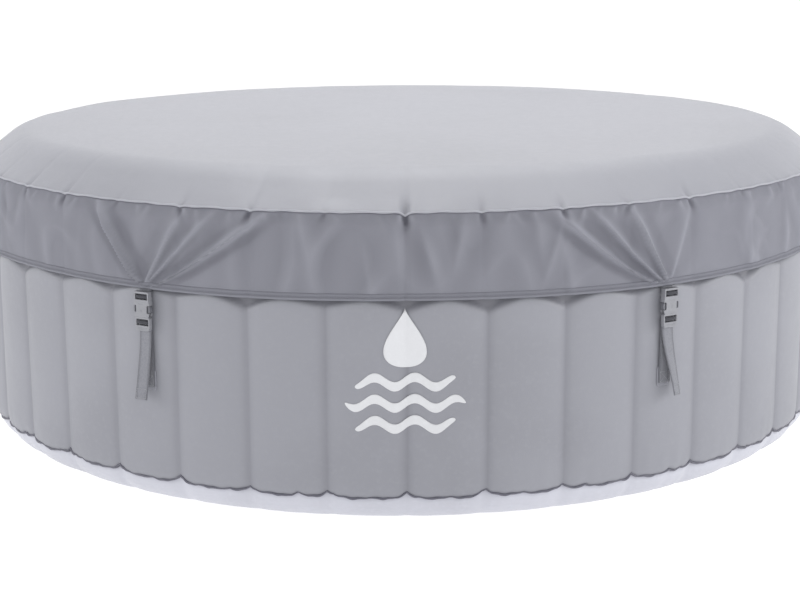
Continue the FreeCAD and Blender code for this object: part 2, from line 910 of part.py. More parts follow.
def buckle_socket(i, angle):
    """The half on the lid: two strap slots over a socket that is open below and at its sides."""
    name = f"buckle_socket_{i}"
    w, thick, long = size["buckle_width"] / 2, size["buckle_thick"], size["socket_length"]
    half = float(thick) / 2
    sides = [
        (-(w - 3), -long),
        (w - 3, -long),
        (w, -(long - 10), 16, 1),
        (w, -26),
        (w - 1.5, -18),
        (w - 1.5, 0),
        (-(w - 1.5), 0),
        (-(w - 1.5), -18),
        (-w, -26),
        (-w, -(long - 10)),
    ]
    sides[0] += (16, 1)
    body = slab(name, sides, thick)
    eased(body, 0.8, lambda e: on_face(e, half))
    slots = [rectangle(-15.2, -8.5, 15.2, -4), rectangle(-15.2, -16.5, 15.2, -12)]
    cut_through(body, slots, name + "_slots")
    room = float(half) - 2.4
    floor = -float(long) - 1
    cavity = block(name + "_cavity", (-14.5, -room, floor), (14.5, room, -22.0))
    left = block(name + "_left", (-25.0, -room, floor), (-14.4, room, -28.0))
    right = block(name + "_right", (14.4, -room, floor), (25.0, room, -28.0))
    dimple = rod(
        name + "_dimple",
        1.6,
        half - 0.8,
        half + 1,
        Placement(Vector(0, 0, -41), Rotation(Vector(1, 0, 0), -90)),
    )
    tool = fused(name + "_rooms", [cavity, left, right, dimple])
    place = hung(angle, size["buckle_radius"], size["buckle_top"])
    keep(cut(name, body, tool), name, place)


def buckle_tongue(i, angle):
    """The half on the tub's strap: two strap slots under a shoulder and a middle guide."""
    name = f"buckle_tongue_{i}"
    w, long = size["buckle_width"] / 2, float(size["socket_length"])
    thick = size["buckle_thick"] - 3
    half = float(thick) / 2
    head = -long - 0.3
    sides = [
        (-(w - 4), -long - 29),
        (w - 4, -long - 29),
        (w - 1.5, -long - 22),
        (w - 1.5, head - 3),
        (w - 3.5, head),
        (-(w - 3.5), head),
        (-(w - 1.5), head - 3),
        (-(w - 1.5), -long - 22),
    ]
    body = slab(name, sides, thick)
    eased(body, 1, lambda e: on_face(e, half))
    slots = [
        rectangle(-15.2, -long - 9.5, 15.2, -long - 5),
        rectangle(-15.2, -long - 18.5, 15.2, -long - 14),
    ]
    cut_through(body, slots, name + "_slots")
    guide = block(name + "_guide", (-3.5, -2.6, head - 2), (3.5, 2.6, -25.0))
    pocket = [
        block(f"{name}_root_{s}", (s * 11.5 - 4.2, -3.2, head - 1.6), (s * 11.5 + 4.2, 3.2, head + 1))
        for s in (-1, 1)
    ]
    whole = fused(name + "_whole", [cut(name + "_plate", body, fused(name + "_roots", pocket)), guide])
    place = hung(angle, size["buckle_radius"], size["buckle_top"])
    keep(whole, name, place)


def buckle_prong(i, angle, side, word):
    """One springy side prong of a buckle, with its press pad in the socket's side."""
    name = f"buckle_prong_{word}_{i}"
    long = float(size["socket_length"])
    edge = float(size["buckle_width"]) / 2 - 0.6
    foot = -long - 1.2
    arm = [
        (9.5, foot),
        (13.5, foot),
        (13.8, -46),
        (edge, -42),
        (edge, -33, 40, 1),
        (12.5, -29),
        (9.8, -30),
    ]
    arm = [(side * c[0], c[1]) + ((c[2], c[3] * side) if len(c) > 2 else ()) for c in arm]
    body = slab(name, arm, 5.6)
    eased(body, 0.4, lambda e: on_face(e, 2.8), "Chamfer")
    place = hung(angle, size["buckle_radius"], size["buckle_top"])
    keep(body, name, place)


def buckles():
    straps()
    for i, angle in enumerate(STRAP_ANGLES, 1):
        buckle_socket(i, angle)
        buckle_tongue(i, angle)
        buckle_prong(i, angle, 1, "left")
        buckle_prong(i, angle, -1, "right")


# ---------------------------------------------------------------- build, check and write


def check():
    doc.recompute()
    bad = [o.Name for o in doc.Objects if {"Invalid", "Error"} & set(o.State)]
    for part in parts:
        shape = part.Shape
        if shape.isNull() or not shape.isValid() or not shape.Solids:
            bad.append(part.Label)
    if bad:
        raise RuntimeError("failed: " + ", ".join(sorted(set(bad))))


def write():
    os.makedirs("parts", exist_ok=True)
    for part in parts:
        part.Shape.exportStep(os.path.join("parts", part.Label + ".step"))
        print(part.Label, len(part.Shape.Solids), "solids", round(part.Shape.Volume))


air_wall()
base_and_floor()
wall_webs()
bubble_tube()
hose_ports()
drain_valve()
air_valve("wall", radial(VALVE_ANGLE, size["valve_height"]), size["wall_radius"] + size["gap"], 20)
filter_parts()
lid()
buckles()
check()
write()
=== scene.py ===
import math
from itertools import takewhile

import bmesh
import bpy
import numpy as np
from mathutils import Matrix, Vector, noise


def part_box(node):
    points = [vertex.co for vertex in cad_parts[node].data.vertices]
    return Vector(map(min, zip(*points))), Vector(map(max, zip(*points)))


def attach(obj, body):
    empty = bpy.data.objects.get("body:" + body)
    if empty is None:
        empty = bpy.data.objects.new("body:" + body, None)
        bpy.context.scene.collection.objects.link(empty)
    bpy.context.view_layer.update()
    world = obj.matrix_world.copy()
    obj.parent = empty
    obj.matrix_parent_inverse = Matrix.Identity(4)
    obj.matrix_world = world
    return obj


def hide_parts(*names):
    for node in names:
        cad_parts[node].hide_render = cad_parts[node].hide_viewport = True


# Looks of the inflatable hot tub, in metres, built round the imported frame.
# Angles go round the tub in degrees: 0 is the front, -Y, and 90 is +X.

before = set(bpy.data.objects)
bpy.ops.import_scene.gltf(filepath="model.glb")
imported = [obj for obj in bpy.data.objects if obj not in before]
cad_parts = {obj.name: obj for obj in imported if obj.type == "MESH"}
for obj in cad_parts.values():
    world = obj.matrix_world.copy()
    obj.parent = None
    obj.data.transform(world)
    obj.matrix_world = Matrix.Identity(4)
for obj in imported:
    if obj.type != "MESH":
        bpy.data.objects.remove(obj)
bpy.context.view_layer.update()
rng = np.random.default_rng(7)

# ---- sizes, from the frame

BEAD = 0.003
SKIN = 0.0025
COLUMNS = 40
PITCH = 360 / COLUMNS
FIRST_SEAM = 0.6

WALL_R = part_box("top_rim")[1].x
RIM_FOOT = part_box("top_rim")[0].z
RIM_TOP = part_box("top_rim")[1].z
SEAM_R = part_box("base_flank")[1].x
BASE_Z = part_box("base_flank")[1].z
GROUND_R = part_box("base_sheet")[1].x
BASIN_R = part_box("inner_wall")[1].x - SKIN
FLOOR_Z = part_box("floor_liner")[1].z
EDGE_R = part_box("cover_piping")[1].x - BEAD
EDGE_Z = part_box("cover_piping")[1].z - BEAD
LID_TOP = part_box("cover_top")[1].z
HEM_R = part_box("cover_hem")[1].x - 0.003
HEM_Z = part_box("cover_hem")[0].z
LINING_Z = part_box("cover_lining")[0].z
KNEE_Z = RIM_FOOT + 0.002
KNEE_R = WALL_R + 0.003


def heading(node):
    """The angle at which a node stands round the tub."""
    low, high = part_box(node)
    middle = (low + high) / 2
    return math.degrees(math.atan2(middle.x, -middle.y))


STRAPS = [heading(f"buckle_socket_{i}") for i in range(1, 7)]
BUCKLE_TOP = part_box("buckle_socket_1")[1].z
TAIL_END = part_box("tub_straps")[0].z
BUCKLE_R = 1.054
PORT_Z, DRAIN_Z, VALVE_Z = 0.190, 0.105, 0.300

# each fitting on the wall: its angle, its height and how far the wall is flat round it
FITTINGS = [
    (heading("water_inlet"), PORT_Z, 0.085),
    (heading("water_outlet"), PORT_Z, 0.085),
    (heading("air_port"), PORT_Z, 0.07),
    (heading("drain_valve"), DRAIN_Z, 0.06),
    (heading("wall_valve"), VALVE_Z, 0.065),
]

# ---- materials


def rgb(red, green, blue):
    """An sRGB colour, 0 to 255, as the linear colour a shader takes."""
    shares = [c / 255 for c in (red, green, blue)]
    return [c / 12.92 if c <= 0.04045 else ((c + 0.055) / 1.055) ** 2.4 for c in shares] + [1.0]


class Paint:
    """Builds one node material, a step at a time."""

    def __init__(self, name, color, roughness, specular=0.5, sheen=0.0, coat=0.0):
        self.material = bpy.data.materials.new(name)
        self.material.use_nodes = True
        self.nodes = self.material.node_tree.nodes
        self.links = self.material.node_tree.links
        self.shader = self.nodes["Principled BSDF"]
        self.shader.inputs["Roughness"].default_value = roughness
        self.shader.inputs["Specular IOR Level"].default_value = specular
        self.shader.inputs["Sheen Weight"].default_value = sheen
        self.shader.inputs["Sheen Roughness"].default_value = 0.4
        self.shader.inputs["Coat Weight"].default_value = coat
        self.shader.inputs["Coat Roughness"].default_value = 0.35
        base = self.nodes.new("ShaderNodeRGB")
        base.outputs[0].default_value = color
        self.color = base.outputs[0]
        self.normal = None
        self.coords = self.nodes.new("ShaderNodeTexCoord").outputs

    def node(self, kind, sockets, **settings):
        """A new node of a kind, with its settings, each socket given a value or linked."""
        node = self.nodes.new("ShaderNode" + kind)
        for setting, value in settings.items():
            setattr(node, setting, value)
        for socket, value in sockets.items():
            if isinstance(value, bpy.types.NodeSocket):
                self.links.new(value, node.inputs[socket])
            else:
                node.inputs[socket].default_value = value
        return node

    def noise(self, scale, detail=3.0, rough=0.5):
        sockets = {"Vector": self.coords["Object"], "Scale": scale, "Detail": detail, "Roughness": rough}
        return self.node("TexNoise", sockets).outputs["Fac"]

    def cells(self, scale):
        sockets = {"Vector": self.coords["Object"], "Scale": scale, "Smoothness": 0.6}
        return self.node("TexVoronoi", sockets, feature="SMOOTH_F1").outputs["Distance"]

    def math(self, operation, *values):
        return self.node("Math", dict(enumerate(values)), operation=operation).outputs[0]

    def waves(self, axis, cycle):
        """A sine along one axis of the UV map, at cycle radians a metre."""
        split = self.node("SeparateXYZ", {0: self.coords["UV"]})
        return self.math("SINE", self.math("MULTIPLY", split.outputs[axis], cycle))

    def weave(self, across, along):
        """The height of a plain weave whose threads are across and along metres apart."""
        warp, weft = self.waves("X", math.pi / across), self.waves("Y", math.pi / along)
        return self.math("ABSOLUTE", self.math("MULTIPLY", warp, weft))

    def ribs(self, apart):
        return self.waves("Y", 2 * math.pi / apart)

    def attribute(self, name):
        return self.node("Attribute", {}, attribute_name=name).outputs["Fac"]

    def tint(self, factor, color, low=0.0, high=1.0, most=1.0):
        """Mixes towards a colour as factor goes from low to high."""
        spread = self.node("MapRange", {"Value": factor, "From Min": low, "From Max": high, "To Max": most})
        sockets = {"Factor": spread.outputs[0], "A": self.color, "B": color}
        self.color = self.node("Mix", sockets, data_type="RGBA").outputs["Result"]
        return self

    def bump(self, height, depth, strength=1.0):
        """Raises the surface by height, where a height of 1 is depth metres."""
        sockets = {"Strength": strength, "Distance": depth, "Height": height}
        if self.normal is not None:
            sockets["Normal"] = self.normal
        self.normal = self.node("Bump", sockets).outputs["Normal"]
        return self

    def rough(self, factor, low, high):
        spread = self.node("MapRange", {"Value": factor, "To Min": low, "To Max": high})
        self.links.new(spread.outputs[0], self.shader.inputs["Roughness"])
        return self

    def done(self):
        self.links.new(self.color, self.shader.inputs["Base Color"])
        if self.normal is not None:
            self.links.new(self.normal, self.shader.inputs["Normal"])
        return self.material


def faded(color, share):
    """An sRGB colour with its channels multiplied by share."""
    return rgb(*[min(255, c * share) for c in color])


def pvc(name, color, shade_and_weld_lines, roughness=0.48, grain=0.00012, coat=0.1):
    """Laminated PVC: fine leather grain, faint mottling, and a darker colour mixed in where its shade
    attribute is set: painted shade in grooves, hollows and under overhangs, and dark weld lines.
    """
    paint = Paint(name, rgb(*color), roughness, coat=coat)
    paint.tint(paint.noise(3.5), faded(color, 0.93), 0.45, 0.75, 0.7)
    paint.tint(paint.noise(90, 4), faded(color, 1.03), 0.5, 0.8, 0.5)
    paint.tint(paint.attribute("shade_and_weld_lines"), rgb(*shade_and_weld_lines))
    paint.bump(paint.noise(14, 2, 0.4), 0.0012, 0.5)
    paint.bump(paint.cells(620), grain)
    paint.bump(paint.noise(1500, 2), grain * 0.5)
    return paint.rough(paint.noise(40, 3), roughness - 0.05, roughness + 0.07).done()


def cloth(name, color, shade_and_weld_lines, thread=0.0011, roughness=0.62, shine=0.2):
    """Coated woven polyester: a plain weave, faint slubs, soft small creases, and painted shade mixed in
    where its shade attribute is set.
    """
    paint = Paint(name, rgb(*color), roughness, specular=shine)
    paint.tint(paint.noise(2.2, 2), faded(color, 0.95), 0.4, 0.8, 0.6)
    paint.tint(paint.noise(420, 2, 0.6), faded(color, 0.9), 0.55, 0.85, 0.35)
    # painted shade, from the mesh's shade attribute
    paint.tint(paint.attribute("shade_and_weld_lines"), rgb(*shade_and_weld_lines))
    paint.bump(paint.noise(9, 4, 0.55), 0.004, 0.3)
    paint.bump(paint.noise(38, 3, 0.5), 0.0012, 0.3)
    paint.bump(paint.weave(thread, thread), 0.00012)
    return paint.rough(paint.noise(60, 2), roughness - 0.06, roughness + 0.08).done()


def tape(name, color, edge):
    """Woven webbing: ribs across it, fine twill along it, and painted shade on its edges and inside the
    buckle slots.
    """
    paint = Paint(name, rgb(*color), 0.72, specular=0.35, sheen=0.2)
    paint.tint(paint.noise(300, 2), faded(color, 0.85), 0.4, 0.8, 0.6)
    # painted shade on the strap's edge faces and on the webbing inside the buckle slots
    paint.tint(paint.attribute("shade_and_weld_lines"), rgb(*edge))
    paint.bump(paint.ribs(0.0016), 0.00018)
    paint.bump(paint.weave(0.0009, 0.0016), 0.00018)
    return paint.done()


def moulded(name, color, roughness=0.4, grain=0.00004):
    """Injection-moulded plastic with a fine spark texture and faint scuffs."""
    paint = Paint(name, rgb(*color), roughness, specular=0.5)
    paint.tint(paint.noise(60, 4), faded(color, 0.9), 0.5, 0.8, 0.5)
    paint.tint(paint.noise(900, 2), faded(color, 1.1), 0.6, 0.8, 0.4)
    paint.bump(paint.noise(2400, 2), grain)
    return paint.rough(paint.noise(150, 3), roughness - 0.08, roughness + 0.1).done()


WALL = pvc("wall_pvc", (143, 144, 152), (98, 98, 107))
RIM = pvc("rim_pvc", (143, 144, 152), (110, 110, 119))
# band_pvc is dark as painted shade: it stands in for the shadow line along the wall's foot
BAND = pvc("band_pvc", (98, 98, 110), (72, 72, 82), 0.5)
BASE = pvc("base_pvc", (194, 195, 205), (166, 166, 179), 0.42, 0.00006)
LINER = pvc("liner_pvc", (216, 220, 226), (176, 180, 188), 0.4, 0.00006)
LINING = pvc("lining_pvc", (196, 198, 204), (150, 152, 160), 0.45, 0.00006)
VINYL = pvc("pad_vinyl", (226, 227, 231), (190, 191, 196), 0.35, 0.00003, 0.2)
PRINT = pvc("print_white", (215, 216, 220), (205, 206, 211), 0.4, 0.00006)
# cover_cloth and skirt_cloth are one fabric: the gap between their colours is painted light and shade, the
# lid's top lit and its skirt shaded
COVER = cloth("cover_cloth", (156, 157, 165), (116, 117, 126), roughness=0.45, shine=0.8)
SKIRT = cloth("skirt_cloth", (145, 146, 155), (90, 90, 99), shine=0.15)
HEM = cloth("hem_cloth", (130, 131, 140), (86, 86, 95), 0.0009)
# piping_cloth is lighter than the cover as painted light, to offset the shade the piping lies in under the
# shoulder
PIPING = cloth("piping_cloth", (176, 177, 185), (120, 121, 130), 0.0007)
WEBBING = tape("webbing", (150, 151, 159), (66, 67, 74))
BUCKLE = moulded("buckle_plastic", (142, 143, 149))
PRONG = moulded("prong_plastic", (112, 113, 120))
FITTING = moulded("fitting_plastic", (108, 110, 118), 0.38)
CAP = moulded("cap_plastic", (88, 90, 98), 0.36)
TUBE = moulded("tube_plastic", (184, 187, 193), 0.45)
RUBBER = moulded("seal_rubber", (44, 44, 46), 0.75, 0.0001)
PATCH = pvc("patch_pvc", (146, 147, 156), (112, 112, 122))
THREAD = tape("sewing_thread", (186, 187, 194), (150, 150, 158))
PAPER = cloth("filter_paper", (234, 236, 240), (200, 204, 210), 0.0016, 0.85)

# ---- mesh helpers


def smoothstep(low, high, value):
    share = np.clip((value - low) / (high - low), 0, 1)
    return share * share * (3 - 2 * share)


def hump(away, width, power=2):
    """1 where away is 0, falling to 0 well beyond width."""
    return np.exp(-((np.abs(away) / width) ** power))


def arc(degrees, radius):
    """Metres along an arc."""
    return degrees * math.pi / 180 * radius


def turn_from(theta, angle):
    """Degrees from an angle, -180 to 180."""
    return (theta - angle + 180) % 360 - 180


def grid(name, points, material, uv=None, wrap=True, shade_and_weld_lines=None, flip=False, caps=()):
    """A mesh through a grid of points, rows by columns; wrap joins its last column to its first,
    and caps closes its first and last rows with a flat face."""
    rows, columns = points.shape[:2]
    mesh = bpy.data.meshes.new(name)
    last = columns if wrap else columns - 1
    row, column = np.meshgrid(np.arange(rows - 1), np.arange(last), indexing="ij")
    after = (column + 1) % columns
    corners = [(row, column), (row, after), (row + 1, after), (row + 1, column)]
    if flip:
        corners.reverse()
    faces = np.stack([r * columns + c for r, c in corners], -1).reshape(-1, 4)
    around = list(range(columns))
    ends = [(cap, around if flip == (cap == 0) else around[::-1]) for cap in caps]
    plugs = [[cap % rows * columns + spot for spot in ring] for cap, ring in ends]
    mesh.from_pydata(points.reshape(-1, 3).tolist(), [], faces.tolist() + plugs)
    if uv is not None:
        order = [(0, 0), (0, 1), (1, 1), (1, 0)]
        if flip:
            order.reverse()
        layer = mesh.uv_layers.new(name="UVMap")
        spots = np.stack([uv[row + r, column + c] for r, c in order], -2).reshape(-1, 2)
        spots = np.concatenate([spots] + [uv[cap, ring] for cap, ring in ends])
        layer.data.foreach_set("uv", spots.astype(np.float32).ravel())
    if shade_and_weld_lines is not None:
        store = mesh.attributes.new("shade_and_weld_lines", "FLOAT", "POINT")
        store.data.foreach_set("value", np.clip(shade_and_weld_lines, 0, 1).astype(np.float32).ravel())
    return finished(name, mesh, material)


def finished(name, mesh, material):
    """Links a smooth-shaded object of a mesh."""
    mesh.materials.append(material)
    mesh.polygons.foreach_set("use_smooth", [True] * len(mesh.polygons))
    mesh.update()
    piece = bpy.data.objects.new(name, mesh)
    bpy.context.scene.collection.objects.link(piece)
    return piece


def ring_points(theta, radius, height):
    """Points round the tub from angles in degrees, radii and heights."""
    turn = np.radians(theta)
    x, y = radius * np.sin(turn), -radius * np.cos(turn)
    return np.stack(np.broadcast_arrays(x, y, height), -1)


def ring_uv(theta, down):
    """Coordinates in metres along a ring's cloth, with one more column to close it."""
    rows = down.shape[0]
    round_it = arc(np.append(theta, theta[0] + 360), WALL_R)
    along = np.broadcast_to(down[:, :1], (rows, len(round_it)))
    return np.stack(np.broadcast_arrays(round_it[None, :], along), -1)


def flat_uv(points):
    """Coordinates in metres on a flat round panel, with one more column to close it."""
    return np.concatenate([points, points[:, :1]], axis=1)[..., :2]


def sway(theta, height, scale, stretch=1.0, seed=0.0):
    """Smooth noise, -1 to 1, over the tub's side; stretch above 1 draws it out up and down."""
    points = ring_points(theta, np.ones_like(theta), height)
    flat = points.reshape(-1, 3) * scale
    flat[:, 2] /= stretch
    values = [noise.noise((x + seed, y, z)) for x, y, z in flat.tolist()]
    return np.array(values).reshape(points.shape[:-1])


def thick(piece, depth, offset=-1.0):
    """Gives a sheet its thickness."""
    solid = piece.modifiers.new("thickness", "SOLIDIFY")
    solid.thickness = depth
    solid.offset = offset
    return piece


def place(piece, body, *nodes, slot=None):
    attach(piece, body)
    if nodes:
        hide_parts(*nodes)
    return piece


def round_angles(steps):
    return np.arange(steps) * 360 / steps


# ---- the air wall


def off_seam(theta):
    """(degrees from the nearest seam, share of the way to the column's middle)."""
    turn = (theta - FIRST_SEAM) / PITCH % 1
    away = np.minimum(turn, 1 - turn)
    return away * 360 / COLUMNS, away * 2


COLLAR_Z = HEM_Z + 0.008
SEAM_DEPTH = 0.0105
OVERHANG = 0.004
WEB_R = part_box("wall_webs")[1].x + 0.0022


def swell(share):
    """How far a column bulges, 0 at its seam and 1 in its middle."""
    return (1 - (1 - share) ** 2.2) ** 0.85


pocket_drops = rng.uniform(0.014, 0.032, COLUMNS)
nick_angles = rng.uniform(0, 360, 70)
nick_depths = rng.uniform(0.0015, 0.0062, 70)


def base_seam(theta):
    """Radius and height of the wavy seam at the wall's foot."""
    away, share = off_seam(theta)
    height = BASE_Z - 0.0035 + 0.0125 * hump(arc(away, SEAM_R), 0.010, 1)
    for angle, depth in zip(nick_angles, nick_depths):
        height = height + depth * hump(arc(turn_from(theta, angle), SEAM_R), 0.007, 1)
    height = height + 0.0008 * np.sin(np.radians(theta) * 90) + 0.0006 * np.sin(np.radians(theta) * 211)
    return SEAM_R + OVERHANG * swell(share), height


def flat_spots(theta, height, radius, face):
    """Draws the wall flat behind each fitting that is welded to it."""
    for angle, middle, reach in FITTINGS:
        turn = np.radians(turn_from(theta, angle))
        away = np.hypot(turn * face, height - middle)
        weight = 1 - smoothstep(reach * 0.62, reach, away)
        level = face / np.maximum(np.cos(turn), 0.9)
        radius = radius * (1 - weight) + level * weight
    return radius


def rounded(away, reach):
    """A quarter round: 0 where away is 0, and 1 from reach on."""
    return np.sqrt(1 - (1 - np.clip(away / reach, 0, 1)) ** 2)


def pocket(theta, height):
    """The pocket at the top of each seam, under an arc that rises to the column's middle."""
    share = off_seam(theta)[1]
    seam = np.round((theta - FIRST_SEAM) / PITCH).astype(int) % COLUMNS
    lip = HEM_Z - 0.002 - pocket_drops[seam] * (1 - share) ** 1.6
    return smoothstep(-0.003, 0.013, height - lip) * (1 - share**3)


def wall_radius(theta, height):
    """The outer skin of the air wall: columns up to a weld under the hem, then a plain collar."""
    share = off_seam(theta)[1]
    foot_r, foot_z = base_seam(theta)
    low = rounded(height - foot_z, 0.05)
    high = rounded(COLLAR_Z - height, 0.022)
    collar = rounded(height - COLLAR_Z, 0.03)
    top = smoothstep(RIM_FOOT - 0.05, RIM_FOOT, height)
    full = WALL_R - SEAM_DEPTH * (1 - swell(share))
    column = foot_r + 0.002 + (full - foot_r - 0.002) * low
    column = column - (column - SEAM_R - OVERHANG) * (1 - high)
    column = column - np.maximum(column - WEB_R, 0) * pocket(theta, height)
    ring = SEAM_R + OVERHANG + (WALL_R - SEAM_R - OVERHANG) * collar
    ring = ring - 0.006 * (1 - swell(share)) * top
    radius = np.where(height < COLLAR_Z, column, ring)
    radius = radius + 0.0016 * sway(theta, height, 5.5, 2.2, 3.0) * low * (1 - top)
    pucker = 0.0011 * np.sin(np.radians(theta) * 173) * sway(theta, height, 9, 4, 8.0)
    radius = radius + pucker * (1 - smoothstep(0.0, 0.09, height - foot_z)) * low
    return flat_spots(theta, height, radius, WALL_R - 0.0005)


def outer_wall():
    theta = round_angles(COLUMNS * 26)
    share = np.linspace(0, 1, 110)
    rows = (share + 0.055 * np.sin(2 * math.pi * share) * -1)[:, None]
    foot = base_seam(theta)[1][None, :]
    height = foot + (RIM_FOOT - foot) * rows
    angles = np.broadcast_to(theta, height.shape)
    radius = wall_radius(angles, height)
    away, part = off_seam(angles)
    metres = arc(away, SEAM_R)
    fade = 1 - smoothstep(RIM_FOOT - 0.06, RIM_FOOT, height)
    # Painted shade: a band down each seam's groove around a fine dark weld line, shadow in the pockets
    # under the hem, a shadow line just above the foot seam, and a dark line at the collar weld under the
    # hem that is partly weld line, partly painted shade.
    shade_and_weld_lines = (0.24 * hump(metres, 0.009) + 0.2 * hump(metres, 0.0016)) * fade
    shade_and_weld_lines = np.maximum(shade_and_weld_lines, 0.62 * pocket(angles, height) * (1 - part) ** 0.7)
    shade_and_weld_lines = np.maximum(shade_and_weld_lines, 0.6 * hump(height - foot, 0.004))
    shade_and_weld_lines = np.maximum(shade_and_weld_lines, 0.6 * hump(height - COLLAR_Z, 0.003))
    points = ring_points(angles, radius, height)
    piece = grid("column_wall", points, WALL, ring_uv(theta, height), shade_and_weld_lines=shade_and_weld_lines)
    place(thick(piece, 0.0012), "tub", "outer_wall", "wall_panel", slot="wall_pvc")


def top_rim():
    """The rounded top of the wall, from its outer skin over to the basin."""
    theta = round_angles(COLUMNS * 16)
    turn = np.linspace(0, math.pi, 40)
    middle, half = (WALL_R + BASIN_R) / 2, (WALL_R - BASIN_R) / 2
    reach = np.sign(np.cos(turn)) * np.abs(np.cos(turn)) ** 0.42 * half
    rise = np.sin(turn) ** 0.8 * (RIM_TOP - RIM_FOOT)
    away, share = off_seam(np.broadcast_to(theta, (len(turn), len(theta))))
    groove = 1 - swell(share)
    side = np.abs(np.cos(turn))[:, None]
    radius = middle + reach[:, None] - np.sign(reach)[:, None] * groove * 0.006 * side
    height = RIM_FOOT + rise[:, None] - groove * 0.0045 * (1 - side**2)
    # darker along each seam across the rim: a weld line with painted shade in its groove
    shade_and_weld_lines = 0.5 * hump(arc(away, WALL_R), 0.0026) * (0.4 + 0.6 * side)
    points = ring_points(theta[None, :], radius, height)
    uv = ring_uv(theta, np.broadcast_to(turn[:, None] * 0.08, radius.shape))
    piece = grid("rim_skin", points, RIM, uv, shade_and_weld_lines=shade_and_weld_lines)
    place(thick(piece, 0.0012), "tub", "top_rim", slot="wall_pvc")


def inner_wall():
    theta = round_angles(COLUMNS * 12)
    down = np.linspace(0, 1, 30)[:, None]
    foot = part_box("inner_wall")[0].z
    height = np.broadcast_to(foot + (RIM_FOOT - foot) * down, (30, len(theta)))
    angles = np.broadcast_to(theta, height.shape)
    away, share = off_seam(angles)
    ends = smoothstep(0, 0.06, height - foot) * (1 - 0.7 * smoothstep(RIM_FOOT - 0.06, RIM_FOOT, height))
    radius = BASIN_R + 0.0005 + 0.007 * (1 - swell(share)) * ends
    radius = radius + 0.0005 * sway(angles, height, 6, 2, 1.0)
    # darker along each seam: a weld line with painted shade in its groove
    shade_and_weld_lines = 0.4 * hump(arc(away, BASIN_R), 0.0026)
    points = ring_points(angles, radius, height)
    piece = grid("basin_wall", points, LINER, ring_uv(theta, height), shade_and_weld_lines=shade_and_weld_lines, flip=True)
    place(thick(piece, 0.001), "tub", "inner_wall", "liner_panel", slot="liner_pvc")


def weld_band():
    """The crinkled welded edge that stands out all round the foot of the wall."""
    theta = round_angles(COLUMNS * 60)
    foot_r, foot_z = base_seam(theta)
    wave = np.sin(np.radians(theta) * 97 + 2 * np.sin(np.radians(theta) * 13))
    fine = np.sin(np.radians(theta) * 331 + 3 * np.sin(np.radians(theta) * 29))
    out = 0.0046 + 0.0009 * wave + 0.0005 * fine
    drop = 0.0022 + 0.0009 * wave - 0.0005 * fine
    section = [(-0.003, 0.003), (0.0016, 0.003), (1, -0.35), (1, -1), (0.55, -1.15), (-0.003, -0.0035)]
    rings = []
    for r, z in section:
        radius = foot_r + (out * r if r > 0.1 else r)
        height = foot_z + (drop * z if abs(z) > 0.1 else z)
        rings.append(ring_points(theta, radius, height))
    rings.append(rings[0])
    points = np.stack(rings)
    # painted shade on the flange's top, under the columns' bulge, and on its underside; its outer edge is
    # left light
    shade_and_weld_lines = np.array([0.8, 0.7, 0.0, 0.0, 0.5, 1.0, 0.8])[:, None] * np.ones(len(theta))
    down = np.linspace(0, 0.03, len(rings))[:, None] * np.ones(len(theta))
    piece = grid("weld_flange", points, BAND, ring_uv(theta, down), shade_and_weld_lines=shade_and_weld_lines, flip=True)
    place(piece, "tub", "base_weld_band", slot="seam_pvc")


def bottom_skin():
    """The light skin that bulges below the seam, and the flat sheet that lies on the ground."""
    theta = round_angles(COLUMNS * 20)
    turn = np.linspace(0, math.pi / 2, 26)[:, None]
    seam_r, seam_z = base_seam(theta)
    pull = hump(arc(off_seam(theta)[0], SEAM_R), 0.02, 1) * 0.003 * np.sin(turn) ** 6
    radius = GROUND_R + (seam_r - GROUND_R) * np.sin(turn) - pull
    height = seam_z * (1 - np.cos(turn))
    angles = np.broadcast_to(theta, radius.shape)
    radius = radius + 0.0016 * sway(angles, height, 7, 1, 5.0) * np.sin(turn * 2)
    # painted shade just below the seam, under the wall's overhang
    shade_and_weld_lines = 0.6 * (1 - smoothstep(0, 0.012, seam_z - height)) + 0 * radius
    points = ring_points(angles, radius, height)
    piece = grid("flank_skin", points, BASE, ring_uv(theta, height), shade_and_weld_lines=shade_and_weld_lines)
    place(thick(piece, 0.0012), "tub", "base_flank", slot="base_pvc")

    reach = np.linspace(0.03, GROUND_R, 20)[:, None] * np.ones(len(theta[::8]))
    flat = ring_points(theta[::8], reach, 0.0012 + 0.0 * reach)
    sheet = grid("ground_skin", flat, BASE, flat_uv(flat), caps=(0,))
    place(thick(sheet, 0.0012), "tub", "base_sheet", slot="base_pvc")


def basin_floor():
    """The floor of the basin: a thin pad with shallow dimples."""
    theta = round_angles(320)
    reach = np.linspace(0.01, BASIN_R - 0.0012, 90)[:, None] * np.ones(320)
    angles = np.broadcast_to(theta, reach.shape)
    points = ring_points(angles, reach, 0.0 * reach)
    spacing, deep = 0.085, 0.0018
    hexes = sum(
        np.cos(2 * math.pi / spacing * (points[..., 0] * math.cos(a) + points[..., 1] * math.sin(a)))
        for a in (0, math.pi / 3, 2 * math.pi / 3)
    )
    edge = 1 - smoothstep(BASIN_R - 0.04, BASIN_R - 0.01, reach)
    points[..., 2] = FLOOR_Z - deep + deep * smoothstep(-1.2, 1.5, hexes) * edge
    uv = flat_uv(points)
    # painted shade: darker in the dimples' hollows
    dimples = 0.25 * (1 - smoothstep(-1.4, 0.2, hexes))
    piece = grid("basin_floor", points, LINER, uv, shade_and_weld_lines=dimples, caps=(0,))
    place(thick(piece, 0.004), "tub", "floor_liner", slot="liner_pvc")


# ---- the lid's cover

